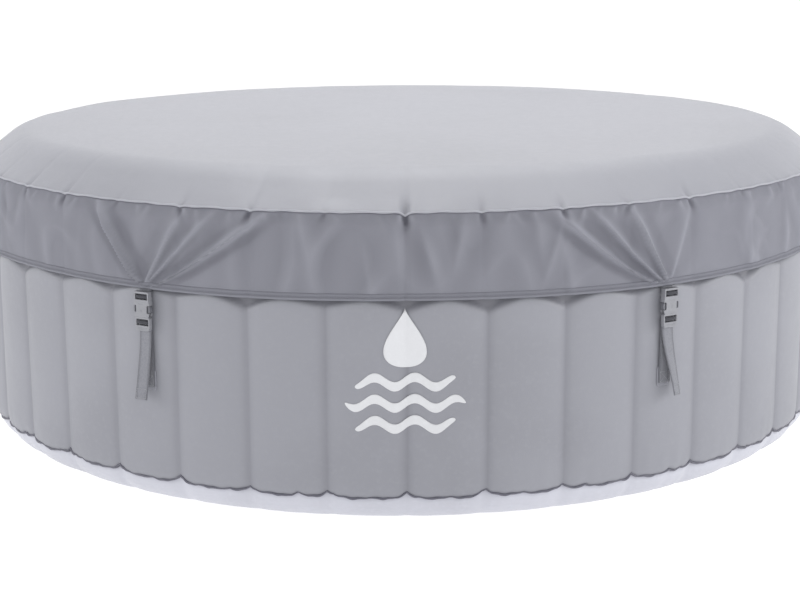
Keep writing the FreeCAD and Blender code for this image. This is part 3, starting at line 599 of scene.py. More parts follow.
TUCKS = 42
FIRST_TUCK = 0.5
CROWN_DROP, SHOULDER_SLOPE, BLEND = 0.24, 9.2, 0.26
tuck_depths = rng.uniform(0.0012, 0.0045, TUCKS)
tuck_depths[0] = 0.0085
tuck_leans = rng.uniform(-0.6, 0.6, TUCKS)
tuck_angles = FIRST_TUCK + np.arange(TUCKS) * 360 / TUCKS + rng.uniform(-0.35, 0.35, TUCKS)
tuck_angles[0] = FIRST_TUCK


def gap_m(theta, angle):
    """Metres round the edge from an angle, signed."""
    return arc(turn_from(theta, angle), EDGE_R)


def edge_line(theta):
    """Radius and height of the piping, which nicks downwards at each tuck."""
    height = EDGE_Z + 0.0007 * np.sin(np.radians(theta) * TUCKS * 2 + 1) + 0 * theta
    radius = EDGE_R + 0.0 * theta
    for angle, depth in zip(tuck_angles, tuck_depths):
        away = gap_m(theta, angle)
        nick = depth * hump(away, 0.0085, 1.4)
        height = height - nick
        radius = radius - 0.5 * nick
    return radius, height


def tuck_pleats(theta, down, length):
    """Small pleats that run from each tuck, fading out down metres away along the cloth."""
    total = 0 * (theta + down)
    for angle, depth, lean in zip(tuck_angles, tuck_depths, tuck_leans):
        away = gap_m(theta, angle) - lean * down
        width = 0.005 + 0.15 * down
        reach = hump(down, length * (0.6 + min(depth, 0.005) / 0.006), 1.5)
        total = total - depth * hump(away, width) * reach
        for side in (-1, 1):
            ridge = hump(away - side * width * 1.7, width * 0.9)
            total = total + 0.55 * depth * ridge * reach
    return total


def dome(part):
    """The height of the lid's low crown and its sloping shoulder, 1 in its middle and 0 at its edge."""
    part = np.clip(part, 0, 1)
    crown, shoulder = 1 - CROWN_DROP * part**4, (1 - part) * SHOULDER_SLOPE
    blend = np.clip(0.5 + 0.5 * (shoulder - crown) / BLEND, 0, 1)
    return np.clip(shoulder + (crown - shoulder) * blend - BLEND * blend * (1 - blend), 0, 1)


def cover_top():
    theta = round_angles(1200)
    share = np.linspace(0, 1, 96)
    part = (1 - (1 - share) ** 2.4)[:, None]
    edge_r, edge_z = edge_line(theta)
    rise = dome(part)
    radius = edge_r[None, :] * np.maximum(part, 0.012)
    angles = np.broadcast_to(theta, radius.shape)
    down = np.maximum(EDGE_R - radius, 0) + rise * 0.03
    height = EDGE_Z + (LID_TOP - EDGE_Z - 0.001) * rise
    height = height - (EDGE_Z - edge_z)[None, :] * (1 - smoothstep(0, 0.35, rise))
    soft = sway(angles, height, 3.0, 1, 2.0) + 0.5 * sway(angles, height, 7.5, 1, 4.0)
    tall = sway(angles, height, 10.0, 2.6, 6.0) * smoothstep(-0.15, 0.3, sway(angles, height, 1.3, 1, 9.0))
    near = smoothstep(0.82, 0.95, part) * smoothstep(0, 0.3, rise)
    pleat = 0.6 * tuck_pleats(angles, down, 0.012)
    ripple = (0.0045 * soft + 0.009 * tall) * near + pleat
    radius = radius + ripple * (1 - rise) - 0.0005
    height = height + ripple * rise * 0.8
    # painted shade: darker along the top's edge by the piping and in the hollows of the tucks' pleats
    shade_and_weld_lines = 0.35 * hump(down, 0.003) + np.clip(-pleat / 0.006, 0, 0.4)
    points = ring_points(angles, radius, height)
    uv = flat_uv(points)
    piece = grid("lid_cloth", points, COVER, uv, shade_and_weld_lines=shade_and_weld_lines, flip=True, caps=(0,))
    place(thick(piece, 0.001), "lid", "cover_top", slot="cover_fabric")


def piping():
    """The welt: a round cord that follows the cover's edge."""
    theta = round_angles(2400)
    turn = np.linspace(0, 2 * math.pi, 11)[:, None]
    radius, height = edge_line(theta)
    bead = 0.0023 + 0.0002 * np.sin(np.radians(theta) * 150)
    reach = radius + 0.0018 + bead * np.cos(turn)
    points = ring_points(theta[None, :], reach, height + bead * np.sin(turn))
    piece = grid("lid_piping", points, PIPING, ring_uv(theta, turn * bead + 0 * radius))
    place(piece, "lid", "cover_piping", slot="cover_fabric")


SKIRT_STEPS = 1500

# folds that fan up from each strap: (degrees to its top end, height, width there, bend)
FRONT_LEFT = [
    (-6.8, 0.0150, 0.016, 1.0),
    (5.6, 0.0060, 0.011, 1.0),
    (9.4, 0.0055, 0.012, 0.95),
    (15.2, 0.0120, 0.020, 0.75),
]
FRONT_RIGHT = [
    (-14.6, 0.0125, 0.017, 0.66),
    (-10.2, 0.0080, 0.011, 0.8),
    (-5.4, 0.0095, 0.010, 0.9),
    (3.2, 0.0030, 0.014, 1.0),
]
SIDE_FAN = [
    (-13.6, 0.0110, 0.018, 0.7),
    (-7.6, 0.0085, 0.012, 0.9),
    (4.6, 0.0060, 0.011, 1.0),
    (9.4, 0.0080, 0.013, 0.9),
    (15.0, 0.0110, 0.019, 0.7),
]
FANS = [SIDE_FAN, SIDE_FAN, FRONT_LEFT, FRONT_RIGHT, SIDE_FAN, SIDE_FAN]


def fan_folds(theta, share):
    """How far the skirt stands out in the folds that run up from the straps."""
    total = 0 * (theta + share)
    up = 1 - share
    for number, (strap, folds) in enumerate(zip(STRAPS, FANS)):
        flip = -1 if number in (0, 4) else 1
        for top, high, wide, bend in folds:
            line = gap_m(theta, strap + flip * top * np.maximum(up, 0) ** bend)
            width = 0.0032 + (wide - 0.0032) * up
            side = np.where(line * flip * top > 0, 0.72, 1.15)
            ridge = hump(line, width * side, 1.3)
            along = smoothstep(-0.03, 0.16, up) * (1 - 0.8 * smoothstep(0.66, 1.0, up))
            total = total + 1.7 * high * ridge * along
    return total


pucker_angles = rng.uniform(0, 360, 230)
pucker_sizes = rng.uniform(0.0009, 0.0034, 230)
pucker_lengths = rng.uniform(0.010, 0.036, 230)
pucker_leans = rng.uniform(-0.7, 0.7, 230)


def puckers(theta, down):
    """Short gathers that the seam under the piping draws into the skirt."""
    total = 0 * (theta + down)
    for angle, size, length, lean in zip(pucker_angles, pucker_sizes, pucker_lengths, pucker_leans):
        away = gap_m(theta, angle) - lean * down
        width = 0.0028 + 0.24 * down
        ridge = hump(away, width, 1.6)
        total = total + size * ridge * hump(down, length) * smoothstep(0, 0.006, down)
    return total


fold_angles = rng.uniform(0, 360, 64)
fold_leans = rng.uniform(-3.6, 3.6, 64)
fold_sizes = rng.uniform(0.0018, 0.0058, 64)
fold_widths = rng.uniform(0.007, 0.017, 64)
fold_middles = rng.uniform(0.25, 0.85, 64)


def loose_folds(theta, share):
    """Slack, slanting folds between the straps, steeper on one side than on the other."""
    total = 0 * (theta + share)
    folds = zip(fold_angles, fold_leans, fold_sizes, fold_widths, fold_middles)
    for angle, lean, size, width, middle in folds:
        line = gap_m(theta, angle + lean * (share - 0.5)) + 0.012 * (share - middle) ** 2
        wide = np.where(line > 0, width * 1.6, width * 0.6)
        along = hump(share - middle, 0.33)
        total = total + size * hump(line, wide, 1.5) * along
    return total * (1 - 0.8 * near_fan(theta))


def near_fan(theta):
    """1 close to a strap's fan of folds and 0 well away from it."""
    total = 0 * theta
    for strap in STRAPS:
        away = np.abs(turn_from(theta, strap))
        total = np.maximum(total, 1 - smoothstep(9, 16, away))
    return total


def skirt_shape(theta, share):
    """Radius and height of the skirt, share of the way from the piping down to the hem."""
    edge_r, edge_z = edge_line(theta)
    top = edge_z - 0.0015
    low = HEM_Z + 0.002 + 0.0012 * np.sin(np.radians(theta) * 7 + 1) + 0 * share
    height = top + (low - top) * share
    knee = smoothstep(EDGE_Z, KNEE_Z, height)
    flare = np.clip((KNEE_Z - height) / (KNEE_Z - HEM_Z), 0, 1)
    radius = edge_r + (KNEE_R - EDGE_R) * knee + (HEM_R - KNEE_R) * flare
    down = (top - height) * 1.02
    body = np.sin(np.pi * np.clip(share * 0.92 + 0.04, 0, 1)) ** 0.7
    soft = sway(theta, height, 4.6, 1.2, 11.0)
    facets = 1 - np.abs(sway(theta, height, 9.5, 1.5, 17.0)) * 3.4
    small = 1 - np.abs(sway(theta, height, 21.0, 1.3, 23.0)) * 3.4
    wrinkle = 0.0085 * np.clip(soft + 0.4, 0, 1) + 0.0042 * np.clip(facets, 0, 1)
    wrinkle = (wrinkle + 0.0018 * np.clip(small, 0, 1) * np.clip(soft * 3, 0, 1)) * body
    pleat = tuck_pleats(theta, np.maximum(down, 0), 0.013) * smoothstep(0.0, 0.03, share)
    fold = fan_folds(theta, share) + loose_folds(theta, share)
    pucker = puckers(theta, np.maximum(down, 0)) * smoothstep(0.0, 0.03, share)
    outward = wrinkle * (1 - 0.5 * near_fan(theta)) + fold + pleat + pucker
    outward = np.maximum(outward, -0.0012) + 0.0006
    return radius + outward * smoothstep(0.0, 0.02, share), height, pleat, outward


def skirt():
    theta = round_angles(SKIRT_STEPS)
    share = (np.linspace(0, 1, 72) ** 1.1)[:, None]
    angles, part = np.broadcast_arrays(theta[None, :], share)
    radius, height, pleat, out = skirt_shape(angles, part)
    # Painted shade in the folds' valleys and painted highlight on their crests, from how far each point
    # stands out from its neighbours; painted shade in the pleats and in a band just under the piping.
    level = sum(np.roll(out, step, axis=1) for step in range(-9, 10)) / 19
    valley = np.clip((level - out) / 0.0035, -1, 1)
    shade_and_weld_lines = 0.3 + 0.27 * valley + np.clip(-pleat / 0.005, 0, 0.3) + 0.3 * hump(part, 0.012)
    points = ring_points(angles, radius, height)
    piece = grid("lid_skirt", points, SKIRT, ring_uv(theta, height), shade_and_weld_lines=shade_and_weld_lines, flip=True)
    place(thick(piece, 0.001), "lid", "cover_skirt", slot="skirt_fabric")


def hem():
    """The folded binding along the skirt's edge."""
    theta = round_angles(SKIRT_STEPS)
    section = [
        (-0.0022, 0.0135), (-0.0022, 0.002), (-0.0012, -0.0012), (0.0010, -0.0016), (0.0021, -0.0002),
        (0.0024, 0.0016), (0.0019, 0.0034), (0.0009, 0.0044), (0.0011, 0.0060), (0.0011, 0.0100),
        (0.0009, 0.0126), (0.0004, 0.0133),
    ]
    rings = []
    for out, up in section:
        share = np.full((1, len(theta)), 1 - up / (EDGE_Z - HEM_Z))
        radius, height = skirt_shape(theta[None, :], share)[:2]
        rings.append(ring_points(theta, radius[0] + out, height[0]))
    rings.append(rings[0])
    points = np.stack(rings)
    # painted shade: darker under the binding's lower edge and in the groove between its folds
    dark = np.array([0.3, 0.3, 0.5, 0.3, 0.0, 0.0, 0.1, 0.4, 0.2, 0.1, 0.1, 0.15, 0.2])
    down = np.linspace(0, 0.045, len(rings))[:, None] * np.ones(len(theta))
    piece = grid("lid_hem", points, HEM, ring_uv(theta, down), shade_and_weld_lines=dark[:, None] * np.ones(len(theta)))
    place(piece, "lid", "cover_hem", slot="hem_fabric")


# ---- inside the lid


def lid_pad():
    """The inflated pad inside the cover: two skins welded together in a field of dots."""
    theta, share = round_angles(360), np.linspace(0.006, 1, 110)
    low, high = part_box("lid_bladder")
    cycle, weld_depth = 42, 0.014
    reach = (high.x - 0.022) * share
    crown = EDGE_Z - low.z + (LID_TOP - EDGE_Z) * dome(reach / EDGE_R) - 0.012
    crown = crown * rounded(1 - share, 0.03)
    rings = []
    for over in (True, False):
        radius = reach[:, None] * np.ones(len(theta))
        x, y = radius * np.sin(np.radians(theta)), radius * np.cos(np.radians(theta))
        dots = np.cos(x * cycle) * np.cos(y * cycle)
        weld = np.clip(dots - 0.72, 0, 1) / 0.28
        edge = 1 - smoothstep(0.86, 0.95, share)[:, None]
        if over:
            height = low.z + np.maximum(crown[:, None] - weld_depth * weld**0.5 * edge, 0.0012)
        else:
            height = low.z + 0.0004 + 0.0 * radius
        rings.append(ring_points(np.broadcast_to(theta, radius.shape), radius, height))
    points = np.concatenate([rings[1], rings[0][::-1]])
    uv = ring_uv(theta, np.linspace(0, 2, len(points))[:, None])
    piece = grid("lid_pad", points, VINYL, uv, caps=(0, -1))
    place(piece, "lid", "lid_bladder", slot="bladder_vinyl")


def lid_lining():
    """The flat sheet under the pad, with a welded ring near its edge."""
    theta = round_angles(400)
    edge = min(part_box("cover_lining")[1].x, EDGE_R - 0.022)
    reach = np.concatenate([np.linspace(0.01, edge - 0.07, 60), np.linspace(edge - 0.068, edge, 60)])
    angles, radius = np.broadcast_arrays(theta[None, :], reach[:, None])
    bead = hump(radius - edge + 0.03, 0.0022) + hump(radius - edge + 0.042, 0.0022)
    x, y = radius * np.sin(np.radians(angles)), radius * np.cos(np.radians(angles))
    slack = 1 - smoothstep(edge - 0.08, edge - 0.05, radius)
    sag = 0.0006 * np.sin(x * 23 + 1.3 * np.sin(y * 11)) * slack
    points = ring_points(angles, radius, LINING_Z + 0.0004 - 0.0005 * bead + sag * 0.5)
    piece = grid("lid_lining", points, LINING, flat_uv(points), shade_and_weld_lines=0.4 * bead, flip=True, caps=(0,))
    place(thick(piece, 0.0008, 1.0), "lid", "cover_lining", slot="lining_pvc")


# ---- straps and stitches

WEB = 0.029
WEB_THICK = 0.0014
STITCH = 0.0033
TAIL_TOP = BUCKLE_TOP - 0.072
ANCHOR_R = WALL_R + 0.0033


def local_point(angle, along, out, up):
    """A point from the distance along the wall, the distance out and the height."""
    turn = math.radians(angle)
    return Vector((
        out * math.sin(turn) + along * math.cos(turn),
        -out * math.cos(turn) + along * math.sin(turn),
        up,
    ))


def smooth_path(corners):
    """A path through corners, each rounded off by a small arc."""
    bend, steps = 0.0016, 6
    path = [corners[0]]
    for before, here, after in zip(corners, corners[1:], corners[2:]):
        back, ahead = (before - here), (after - here)
        reach = min(bend, back.length * 0.45, ahead.length * 0.45)
        first, last = here + back.normalized() * reach, here + ahead.normalized() * reach
        for step in range(steps + 1):
            t = step / steps
            path.append(first * (1 - t) ** 2 + here * 2 * t * (1 - t) + last * t**2)
    path.append(corners[-1])
    return path


def spread(path):
    """Points at most 4 mm apart along a path."""
    points = [path[0]]
    for start, end in zip(path, path[1:]):
        pieces = max(1, math.ceil((end - start).length / 0.004))
        points += [start.lerp(end, k / pieces) for k in range(1, pieces + 1)]
    return points


def tube_faces(base, rows, count):
    """The faces of a closed tube: rows rings of count points each, from point base on."""
    faces = []
    for row in range(rows - 1):
        a, b = base + row * count, base + (row + 1) * count
        for k in range(count):
            after = (k + 1) % count
            faces.append((a + k, a + after, b + after, b + k))
    last = base + (rows - 1) * count
    return faces + [tuple(range(base, base + count))[::-1], tuple(range(last, last + count))]


def strap_mesh(strap, angle, route, lean):
    """Adds a strap to lists of (points, faces, uvs, painted shade); lean(spot) is its shift and twist
    there.
    """
    verts, faces, uvs, dark = strap
    path = spread(smooth_path([Vector((0, out, up)) for out, up in route]))
    half, rise = WEB / 2, WEB_THICK / 2
    round_edge = [(-1, -0.4), (-0.96, -1), (-0.5, -1), (0, -1), (0.5, -1), (0.96, -1), (1, -0.4)]
    section = round_edge + [(x, -z) for x, z in reversed(round_edge)]
    base, along = len(verts), 0.0
    for number, spot in enumerate(path):
        ahead = path[min(number + 1, len(path) - 1)] - path[max(number - 1, 0)]
        ahead.normalize()
        normal = Vector((0, -ahead.z, ahead.y))
        shift, twist = lean(spot)
        side = Vector((math.cos(twist), math.sin(twist) * normal.y, math.sin(twist) * normal.z))
        face = Vector((-math.sin(twist), math.cos(twist) * normal.y, math.cos(twist) * normal.z))
        if number:
            along += (spot - path[number - 1]).length
        # painted shade: webbing inside a buckle's slots is darkened fully, its edge faces partly
        in_slot = spot.y > BUCKLE_R + 0.002 and spot.z > BUCKLE_TOP - 0.07
        for x, z in section:
            point = spot + Vector((shift, 0, 0)) + side * (half * x) + face * (rise * z + 0.0004 * x * x)
            verts.append(local_point(angle, *point))
            uvs.append((half * x, along))
            shade = 0.5 if abs(x) > 0.9 else 0.07
            dark.append(1.0 if in_slot else shade)
    faces += tube_faces(base, len(path), len(section))
    return path


def mesh_piece(name, verts, faces, material, uvs=None, dark=None):
    mesh = bpy.data.meshes.new(name)
    mesh.from_pydata([tuple(v) for v in verts], [], faces)
    if uvs:
        layer = mesh.uv_layers.new(name="UVMap")
        for loop in mesh.loops:
            layer.data[loop.index].uv = uvs[loop.vertex_index]
    if dark:
        store = mesh.attributes.new("shade_and_weld_lines", "FLOAT", "POINT")
        store.data.foreach_set("value", dark)
    mesh.validate()
    tidy = bmesh.new()
    tidy.from_mesh(mesh)
    bmesh.ops.recalc_face_normals(tidy, faces=tidy.faces)
    tidy.to_mesh(mesh)
    tidy.free()
    return finished(name, mesh, material)


# each strap's tail: metres it leans sideways at its end, radians it twists there, metres it stands out
TAILS = [
    (0.003, 0.1, 0.012),
    (-0.004, -0.25, 0.014),
    (-0.004, 0.06, 0.019),
    (0.016, 0.45, 0.020),
    (0.004, 0.3, 0.016),
    (-0.003, 0.12, 0.012),
]


def loop_route():
    """The lid's loop, as (out, up): inside the skirt, round the bar between the socket's slots, back up."""
    near, front = WALL_R + 0.0013, BUCKLE_R + 0.0051
    far = near + 0.0023
    low, high, sewn = BUCKLE_TOP - 0.0131, BUCKLE_TOP - 0.0074, HEM_Z + 0.050
    return [(near, sewn), (near, low), (front, low), (front, high), (far, high), (far, sewn)]


def strap_route(stand):
    """The tub's strap, from its tail's end up round the tongue's bars and down to its anchor."""
    back, face = BUCKLE_R - 0.0064, BUCKLE_R + 0.0038
    upper, lower = BUCKLE_TOP - 0.0606, BUCKLE_TOP - 0.0669
    rear = back - 0.0024
    tail = [
        (back + stand * (1 - k) ** 1.6, TAIL_END + (lower - 0.012 - TAIL_END) * k)
        for k in (0, 0.2, 0.4, 0.6, 0.8, 1)
    ]
    tail[0] = (tail[0][0], TAIL_END + 0.0015)
    return tail + [(back, lower), (face, lower), (face, upper), (rear, upper), (rear, upper - 0.030),
                   (ANCHOR_R, 0.320), (ANCHOR_R, 0.262)]


def stitch(threads, start, end, out, thread=0.00045):
    """Adds a sewn stitch to lists of (points, faces): a four-sided bead, raised along out."""
    verts, faces = threads
    way = end - start
    side = way.cross(out).normalized() * thread
    top = out.normalized() * thread
    base = len(verts)
    for share, swell_by in ((0, 0.35), (0.3, 1), (0.7, 1), (1, 0.35)):
        middle = start + way * share
        for offset in (side, top, -side, -top):
            verts.append(middle + offset * swell_by)
    faces += tube_faces(base, 4, 4)


def sew(threads, rows, spot_at, out):
    """Stitches along rows of (x, up, x, up) on a surface whose points spot_at gives."""
    for x0, up0, x1, up1 in rows:
        count = round(math.hypot(x1 - x0, up1 - up0) / STITCH)
        for k in range(count):
            ends = []
            for share in ((k + 0.12) / count, (k + 0.88) / count):
                ends.append(spot_at(x0 + (x1 - x0) * share, up0 + (up1 - up0) * share))
            stitch(threads, ends[0], ends[1], out)


def straps():
    loops, tubs = ([], [], [], []), ([], [], [], [])
    threads = ([], [])
    for angle, (lean, twist, stand) in zip(STRAPS, TAILS):
        def tail_lean(spot, lean=lean, twist=twist):
            if spot.y < BUCKLE_R - 0.0070 or spot.z > TAIL_TOP:
                return 0.0, 0.0
            drop = smoothstep(0, 1, (TAIL_TOP - spot.z) / (TAIL_TOP - TAIL_END))
            return lean * float(drop), twist * float(drop)

        strap_mesh(loops, angle, loop_route(), lambda spot: (0.0, 0.0))
        path = strap_mesh(tubs, angle, strap_route(stand), tail_lean)
        hem_stitching(threads, angle, path, tail_lean)
        anchor_stitching(threads, angle)
    place(mesh_piece("strap_loops", *loops[:2], WEBBING, *loops[2:]), "lid", "lid_loops", slot="webbing")
    place(mesh_piece("hold_straps", *tubs[:2], WEBBING, *tubs[2:]), "tub", "tub_straps", slot="webbing")
    place(mesh_piece("strap_stitches", *threads, THREAD), "tub", slot="webbing")


def hem_stitching(threads, angle, path, lean):
    """A box of stitches on the outer face of a tail's end."""
    start = path[0]
    within = list(takewhile(lambda spot: (spot - start).length <= 0.026, path))
    ahead = (within[-1] - start).normalized()
    outward = Vector((0, ahead.z, -ahead.y))
    shift, twist = lean(start)
    side = Vector((math.cos(twist), 0, 0)) + outward * -math.sin(twist)
    half, low, high = 0.0115, 0.003, 0.022

    def spot_at(x, up):
        spot = start + ahead * up + Vector((shift, 0, 0)) + side * x
        return local_point(angle, *(spot + outward * (WEB_THICK / 2 + 0.0004)))

    rows = [(-half, low, -half, high), (half, low, half, high),
            (-half, low, half, low), (-half, high, half, high)]
    sew(threads, rows, spot_at, local_point(angle, *(start + outward)) - local_point(angle, *start))


def anchor_stitching(threads, angle):
    """A crossed box of stitches that holds a strap to its anchor patch."""
    out = ANCHOR_R + WEB_THICK / 2 + 0.0003
    half, low, high = 0.011, 0.264, 0.286
    rows = [(-half, low, half, high), (-half, high, half, low), (-half, low, -half, high),
            (half, low, half, high), (-half, low, half, low), (-half, high, half, high)]
    face = local_point(angle, 0, 1, 0) - local_point(angle, 0, 0, 0)
    sew(threads, rows, lambda x, up: local_point(angle, x, out, up), face)


def anchor_patches():
    """The welded patches under the straps' lower ends: rounded squares with a pressed rim."""
    verts, faces, dark, uvs = [], [], [], []
    wide, low, high = 0.0165, 0.254, 0.298
    middle, tall = (low + high) / 2, (high - low) / 2
    rings, count, power, raised = 9, 48, 0.35, 0.0021
    for angle in STRAPS:
        base = len(verts)
        for ring in range(rings):
            share = ring / (rings - 1)
            rim = 0.0005 * hump(share - 0.86, 0.05)
            top = raised if share < 0.94 else raised - 0.0016 * (share - 0.94) / 0.06
            for k in range(count):
                turn = 2 * math.pi * k / count
                c, s = math.cos(turn), math.sin(turn)
                x = wide * math.copysign(abs(c) ** power, c) * max(share, 0.02)
                z = tall * math.copysign(abs(s) ** power, s) * max(share, 0.02)
                verts.append(local_point(angle, x, WALL_R + 0.0001 + top - rim, middle + z))
                uvs.append((x, z))
                dark.append(0.5 if 0.8 < share < 0.92 else 0.0)
        verts += [point - local_point(angle, 0, 0.0012, 0) for point in verts[-count:]]
        uvs += [(0, 0)] * count
        dark += [0.0] * count
        faces += tube_faces(base, rings + 1, count)
    piece = mesh_piece("anchor_pads", verts, faces, PATCH, uvs, dark)
    place(piece, "tub", "anchor_patches", slot="patch_pvc")


def edge_stitches():
    """The two rows of stitches along the hem binding."""
    threads, count = ([], []), 1880
    for up, out in ((0.0118, 0.0023), (0.0064, 0.0016)):
        share = np.full((1, count), 1 - up / (EDGE_Z - HEM_Z))
        lines = []
        for offset in (0.14, 0.86):
            theta = (round_angles(count) + offset * (360 / count))[None, :]
            radius, height = skirt_shape(theta, share)[:2]
            lines.append(ring_points(theta, radius + out, height)[0])
        for first, last in zip(*lines):
            first, last = Vector(first), Vector(last)
            stitch(threads, first, last, Vector((first.x, first.y, 0)), 0.0004)
    place(mesh_piece("hem_stitches", *threads, HEM), "lid", slot="hem_fabric")


# ---- buckles


def prism(outline, half, middle=0.0):
    """A closed prism of an outline of (x, z) millimetres, half its thickness each side of y = middle."""
    shape = bmesh.new()
    near = [shape.verts.new((x / 1000, (middle - half) / 1000, z / 1000)) for x, z in outline]
    far = [shape.verts.new((x / 1000, (middle + half) / 1000, z / 1000)) for x, z in outline]
    shape.faces.new(near)
    shape.faces.new(far[::-1])
    for k in range(len(outline)):
        after = (k + 1) % len(outline)
        shape.faces.new((near[k], far[k], far[after], near[after]))
    bmesh.ops.recalc_face_normals(shape, faces=shape.faces)
    mesh = bpy.data.meshes.new("prism")
    shape.to_mesh(mesh)
    shape.free()
    return mesh


def brick(x0, x1, y0, y1, z0, z1):
    return prism([(x0, z0), (x1, z0), (x1, z1), (x0, z1)], (y1 - y0) / 2, (y0 + y1) / 2)


def pip(radius, y0, y1, z):
    turns = [k * math.pi / 12 for k in range(24)]
    ring = [(radius * math.cos(turn), z + radius * math.sin(turn)) for turn in turns]
    return prism(ring, (y1 - y0) / 2, (y0 + y1) / 2)


def shaped(base, joins=(), cuts=(), bevel=0.0006):
    """A mesh from one solid with others joined to it and cut from it, its edges then rounded."""
    scene = bpy.context.scene
    block = bpy.data.objects.new("block", base)
    scene.collection.objects.link(block)
    tools = []
    for operation, meshes in (("UNION", joins), ("DIFFERENCE", cuts)):
        for mesh in meshes:
            tool = bpy.data.objects.new("tool", mesh)
            scene.collection.objects.link(tool)
            tools.append(tool)
            step = block.modifiers.new("step", "BOOLEAN")
            step.operation, step.solver, step.object = operation, "EXACT", tool
    edge = block.modifiers.new("edge", "BEVEL")
    edge.width, edge.segments, edge.limit_method = bevel, 3, "ANGLE"
    edge.angle_limit = math.radians(35)
    bpy.context.view_layer.update()
    seen = block.evaluated_get(bpy.context.evaluated_depsgraph_get())
    result = bpy.data.meshes.new_from_object(seen)
    for thing in [block] + tools:
        bpy.data.objects.remove(thing)
    return result


def mirrored(points):
    return points + [(-x, z) for x, z in reversed(points)]


def socket_mesh():
    """The lid's half: strap slots over a case with a bite in each side for the prongs' pads."""
    right = [(17.2, 0), (18, -0.8), (18, -18), (19.5, -26), (19.5, -28), (15.6, -28), (13.7, -28.4),
             (13.1, -30), (13.1, -42), (13.7, -43.4), (15.6, -44), (19.2, -44), (18.2, -49), (16.5, -52)]
    cuts = [
        brick(-15.2, 15.2, -8, 8, -8.5, -4),
        brick(-15.2, 15.2, -8, 8, -16.5, -12),
        brick(-15.2, 15.2, 4.2, 9, -12.4, -8.1),
        brick(-14.5, 14.5, -3.6, 3.6, -60, -22),
        brick(-25, 25, -3.6, 3.6, -60, -43),
        pip(1.5, 5.4, 8, -39),
        prism([(-7, -24), (7, -24), (5.6, -26.4), (-5.6, -26.4)], 1, 6.55),
    ]
    return shaped(prism(mirrored(right), 6), cuts=cuts)


def tongue_mesh():
    """The strap's half: two slots, a shoulder, the middle guide and grip ridges at its foot."""
    right = [(15.5, -52.3), (18, -55.3), (18, -72), (16.8, -78), (15, -81)]
    cuts = [
        brick(-15.2, 15.2, -8, 8, -61.5, -57),
        brick(-15.2, 15.2, -8, 8, -70.5, -66),
        brick(-15.2, 15.2, 3.0, 9, -66.4, -61.1),
    ]
    cuts += [brick(-11, 11, 4.1, 6, z, z + 0.9) for z in (-78.6, -76.6, -74.6)]
    joins = [brick(-3.4, 3.4, -2.6, 2.6, -54, -25.5)]
    return shaped(prism(mirrored(right), 4.5), joins, cuts)


def prong_mesh():
    """The springy prong of one side, with its ridged press pad."""
    arm = [(9.5, -53.2), (13.5, -53.2), (13.8, -46), (17.6, -42.6), (17.6, -32), (12.5, -29), (9.8, -30)]
    pad = [(17.0, -29.8), (18.6, -29.4)]
    for step in range(6):
        z = -30.6 - step * 1.9
        out = 19.7 + 0.5 * math.sin(math.pi * (step + 0.5) / 6)
        pad += [(out, z), (out - 0.4, z - 0.95)]
    pad += [(18.6, -42.6), (17.0, -42.4)]
    return shaped(prism(arm, 2.7), [prism(pad, 4.7)], bevel=0.00035)


def buckle_copy(name, mesh, angle, material, flip=1):
    """One copy of a buckle's piece at a strap; flip of -1 mirrors it."""
    turn = math.radians(angle)
    frame_at = Matrix((
        (math.cos(turn) * flip, math.sin(turn), 0, BUCKLE_R * math.sin(turn)),
        (math.sin(turn) * flip, -math.cos(turn), 0, -BUCKLE_R * math.cos(turn)),
        (0, 0, 1, BUCKLE_TOP),
        (0, 0, 0, 1),
    ))
    copy = mesh.copy()
    copy.name = name
    copy.transform(frame_at)
    if frame_at.determinant() < 0:
        copy.flip_normals()
    copy.materials.clear()
    piece = finished(name, copy, material)
    copy.set_sharp_from_angle(angle=math.radians(40))
    return piece


def buckles():
    socket, tongue, prong = socket_mesh(), tongue_mesh(), prong_mesh()
    for number, angle in enumerate(STRAPS, 1):
        piece = buckle_copy(f"socket_{number}", socket, angle, BUCKLE)
        place(piece, "lid", f"buckle_socket_{number}", slot="buckle_plastic")
        piece = buckle_copy(f"tongue_{number}", tongue, angle, BUCKLE)
        place(piece, "tub", f"buckle_tongue_{number}", slot="buckle_plastic")
        for word, flip in (("left", -1), ("right", 1)):
            piece = buckle_copy(f"prong_pad_{word}_{number}", prong, angle, PRONG, flip)
            place(piece, f"prong_{word}_{number}", f"buckle_prong_{word}_{number}", slot="buckle_plastic")


# ---- the print on the wall


def on_wall(along, up):
    """Points on the wall's front from distances along it from the print's middle, and heights."""
    theta = 0.45 + np.degrees(along / WALL_R)
    levels = [wall_radius(theta + turn, up) for turn in (-0.36, -0.24, -0.12, 0, 0.12, 0.24, 0.36)]
    radius = (sum(levels) / len(levels) + np.max(levels, axis=0)) / 2
    return ring_points(theta, np.maximum(radius, levels[3]) + 0.0007, up)


def print_patch(name, along, up):
    """One white shape printed on the wall."""
    piece = grid(name, on_wall(along, up), PRINT, wrap=False)
    place(thick(piece, 0.0004), "tub", slot="wall_pvc")


def wall_print():
    """A plain white print: a drop over three waves."""
    turn = np.linspace(0.02, math.pi, 60)[:, None]
    side = np.linspace(-1, 1, 24)[None, :]
    half = 0.062 * np.sin(turn) * np.sin(turn / 2) ** 1.6
    up = 0.392 + 0.059 * np.cos(turn) + 0 * side
    print_patch("print_drop", half * side, up)
    for number, (middle, reach) in enumerate([(0.3035, 0.1), (0.2600, 0.1205), (0.2165, 0.1)]):
        along = np.linspace(-reach, reach, 120)[None, :]
        across = np.linspace(-1, 1, 9)[:, None]
        taper = np.sqrt(np.clip(1 - (np.abs(along) / reach) ** 6, 0, 1))
        wave = middle + 0.0095 * np.sin(along * 2 * math.pi / 0.0806)
        up = wave + 0.0098 * across * np.maximum(taper, 0.05)
        print_patch(f"print_wave_{number + 1}", along + 0 * across, up)


# ---- fittings

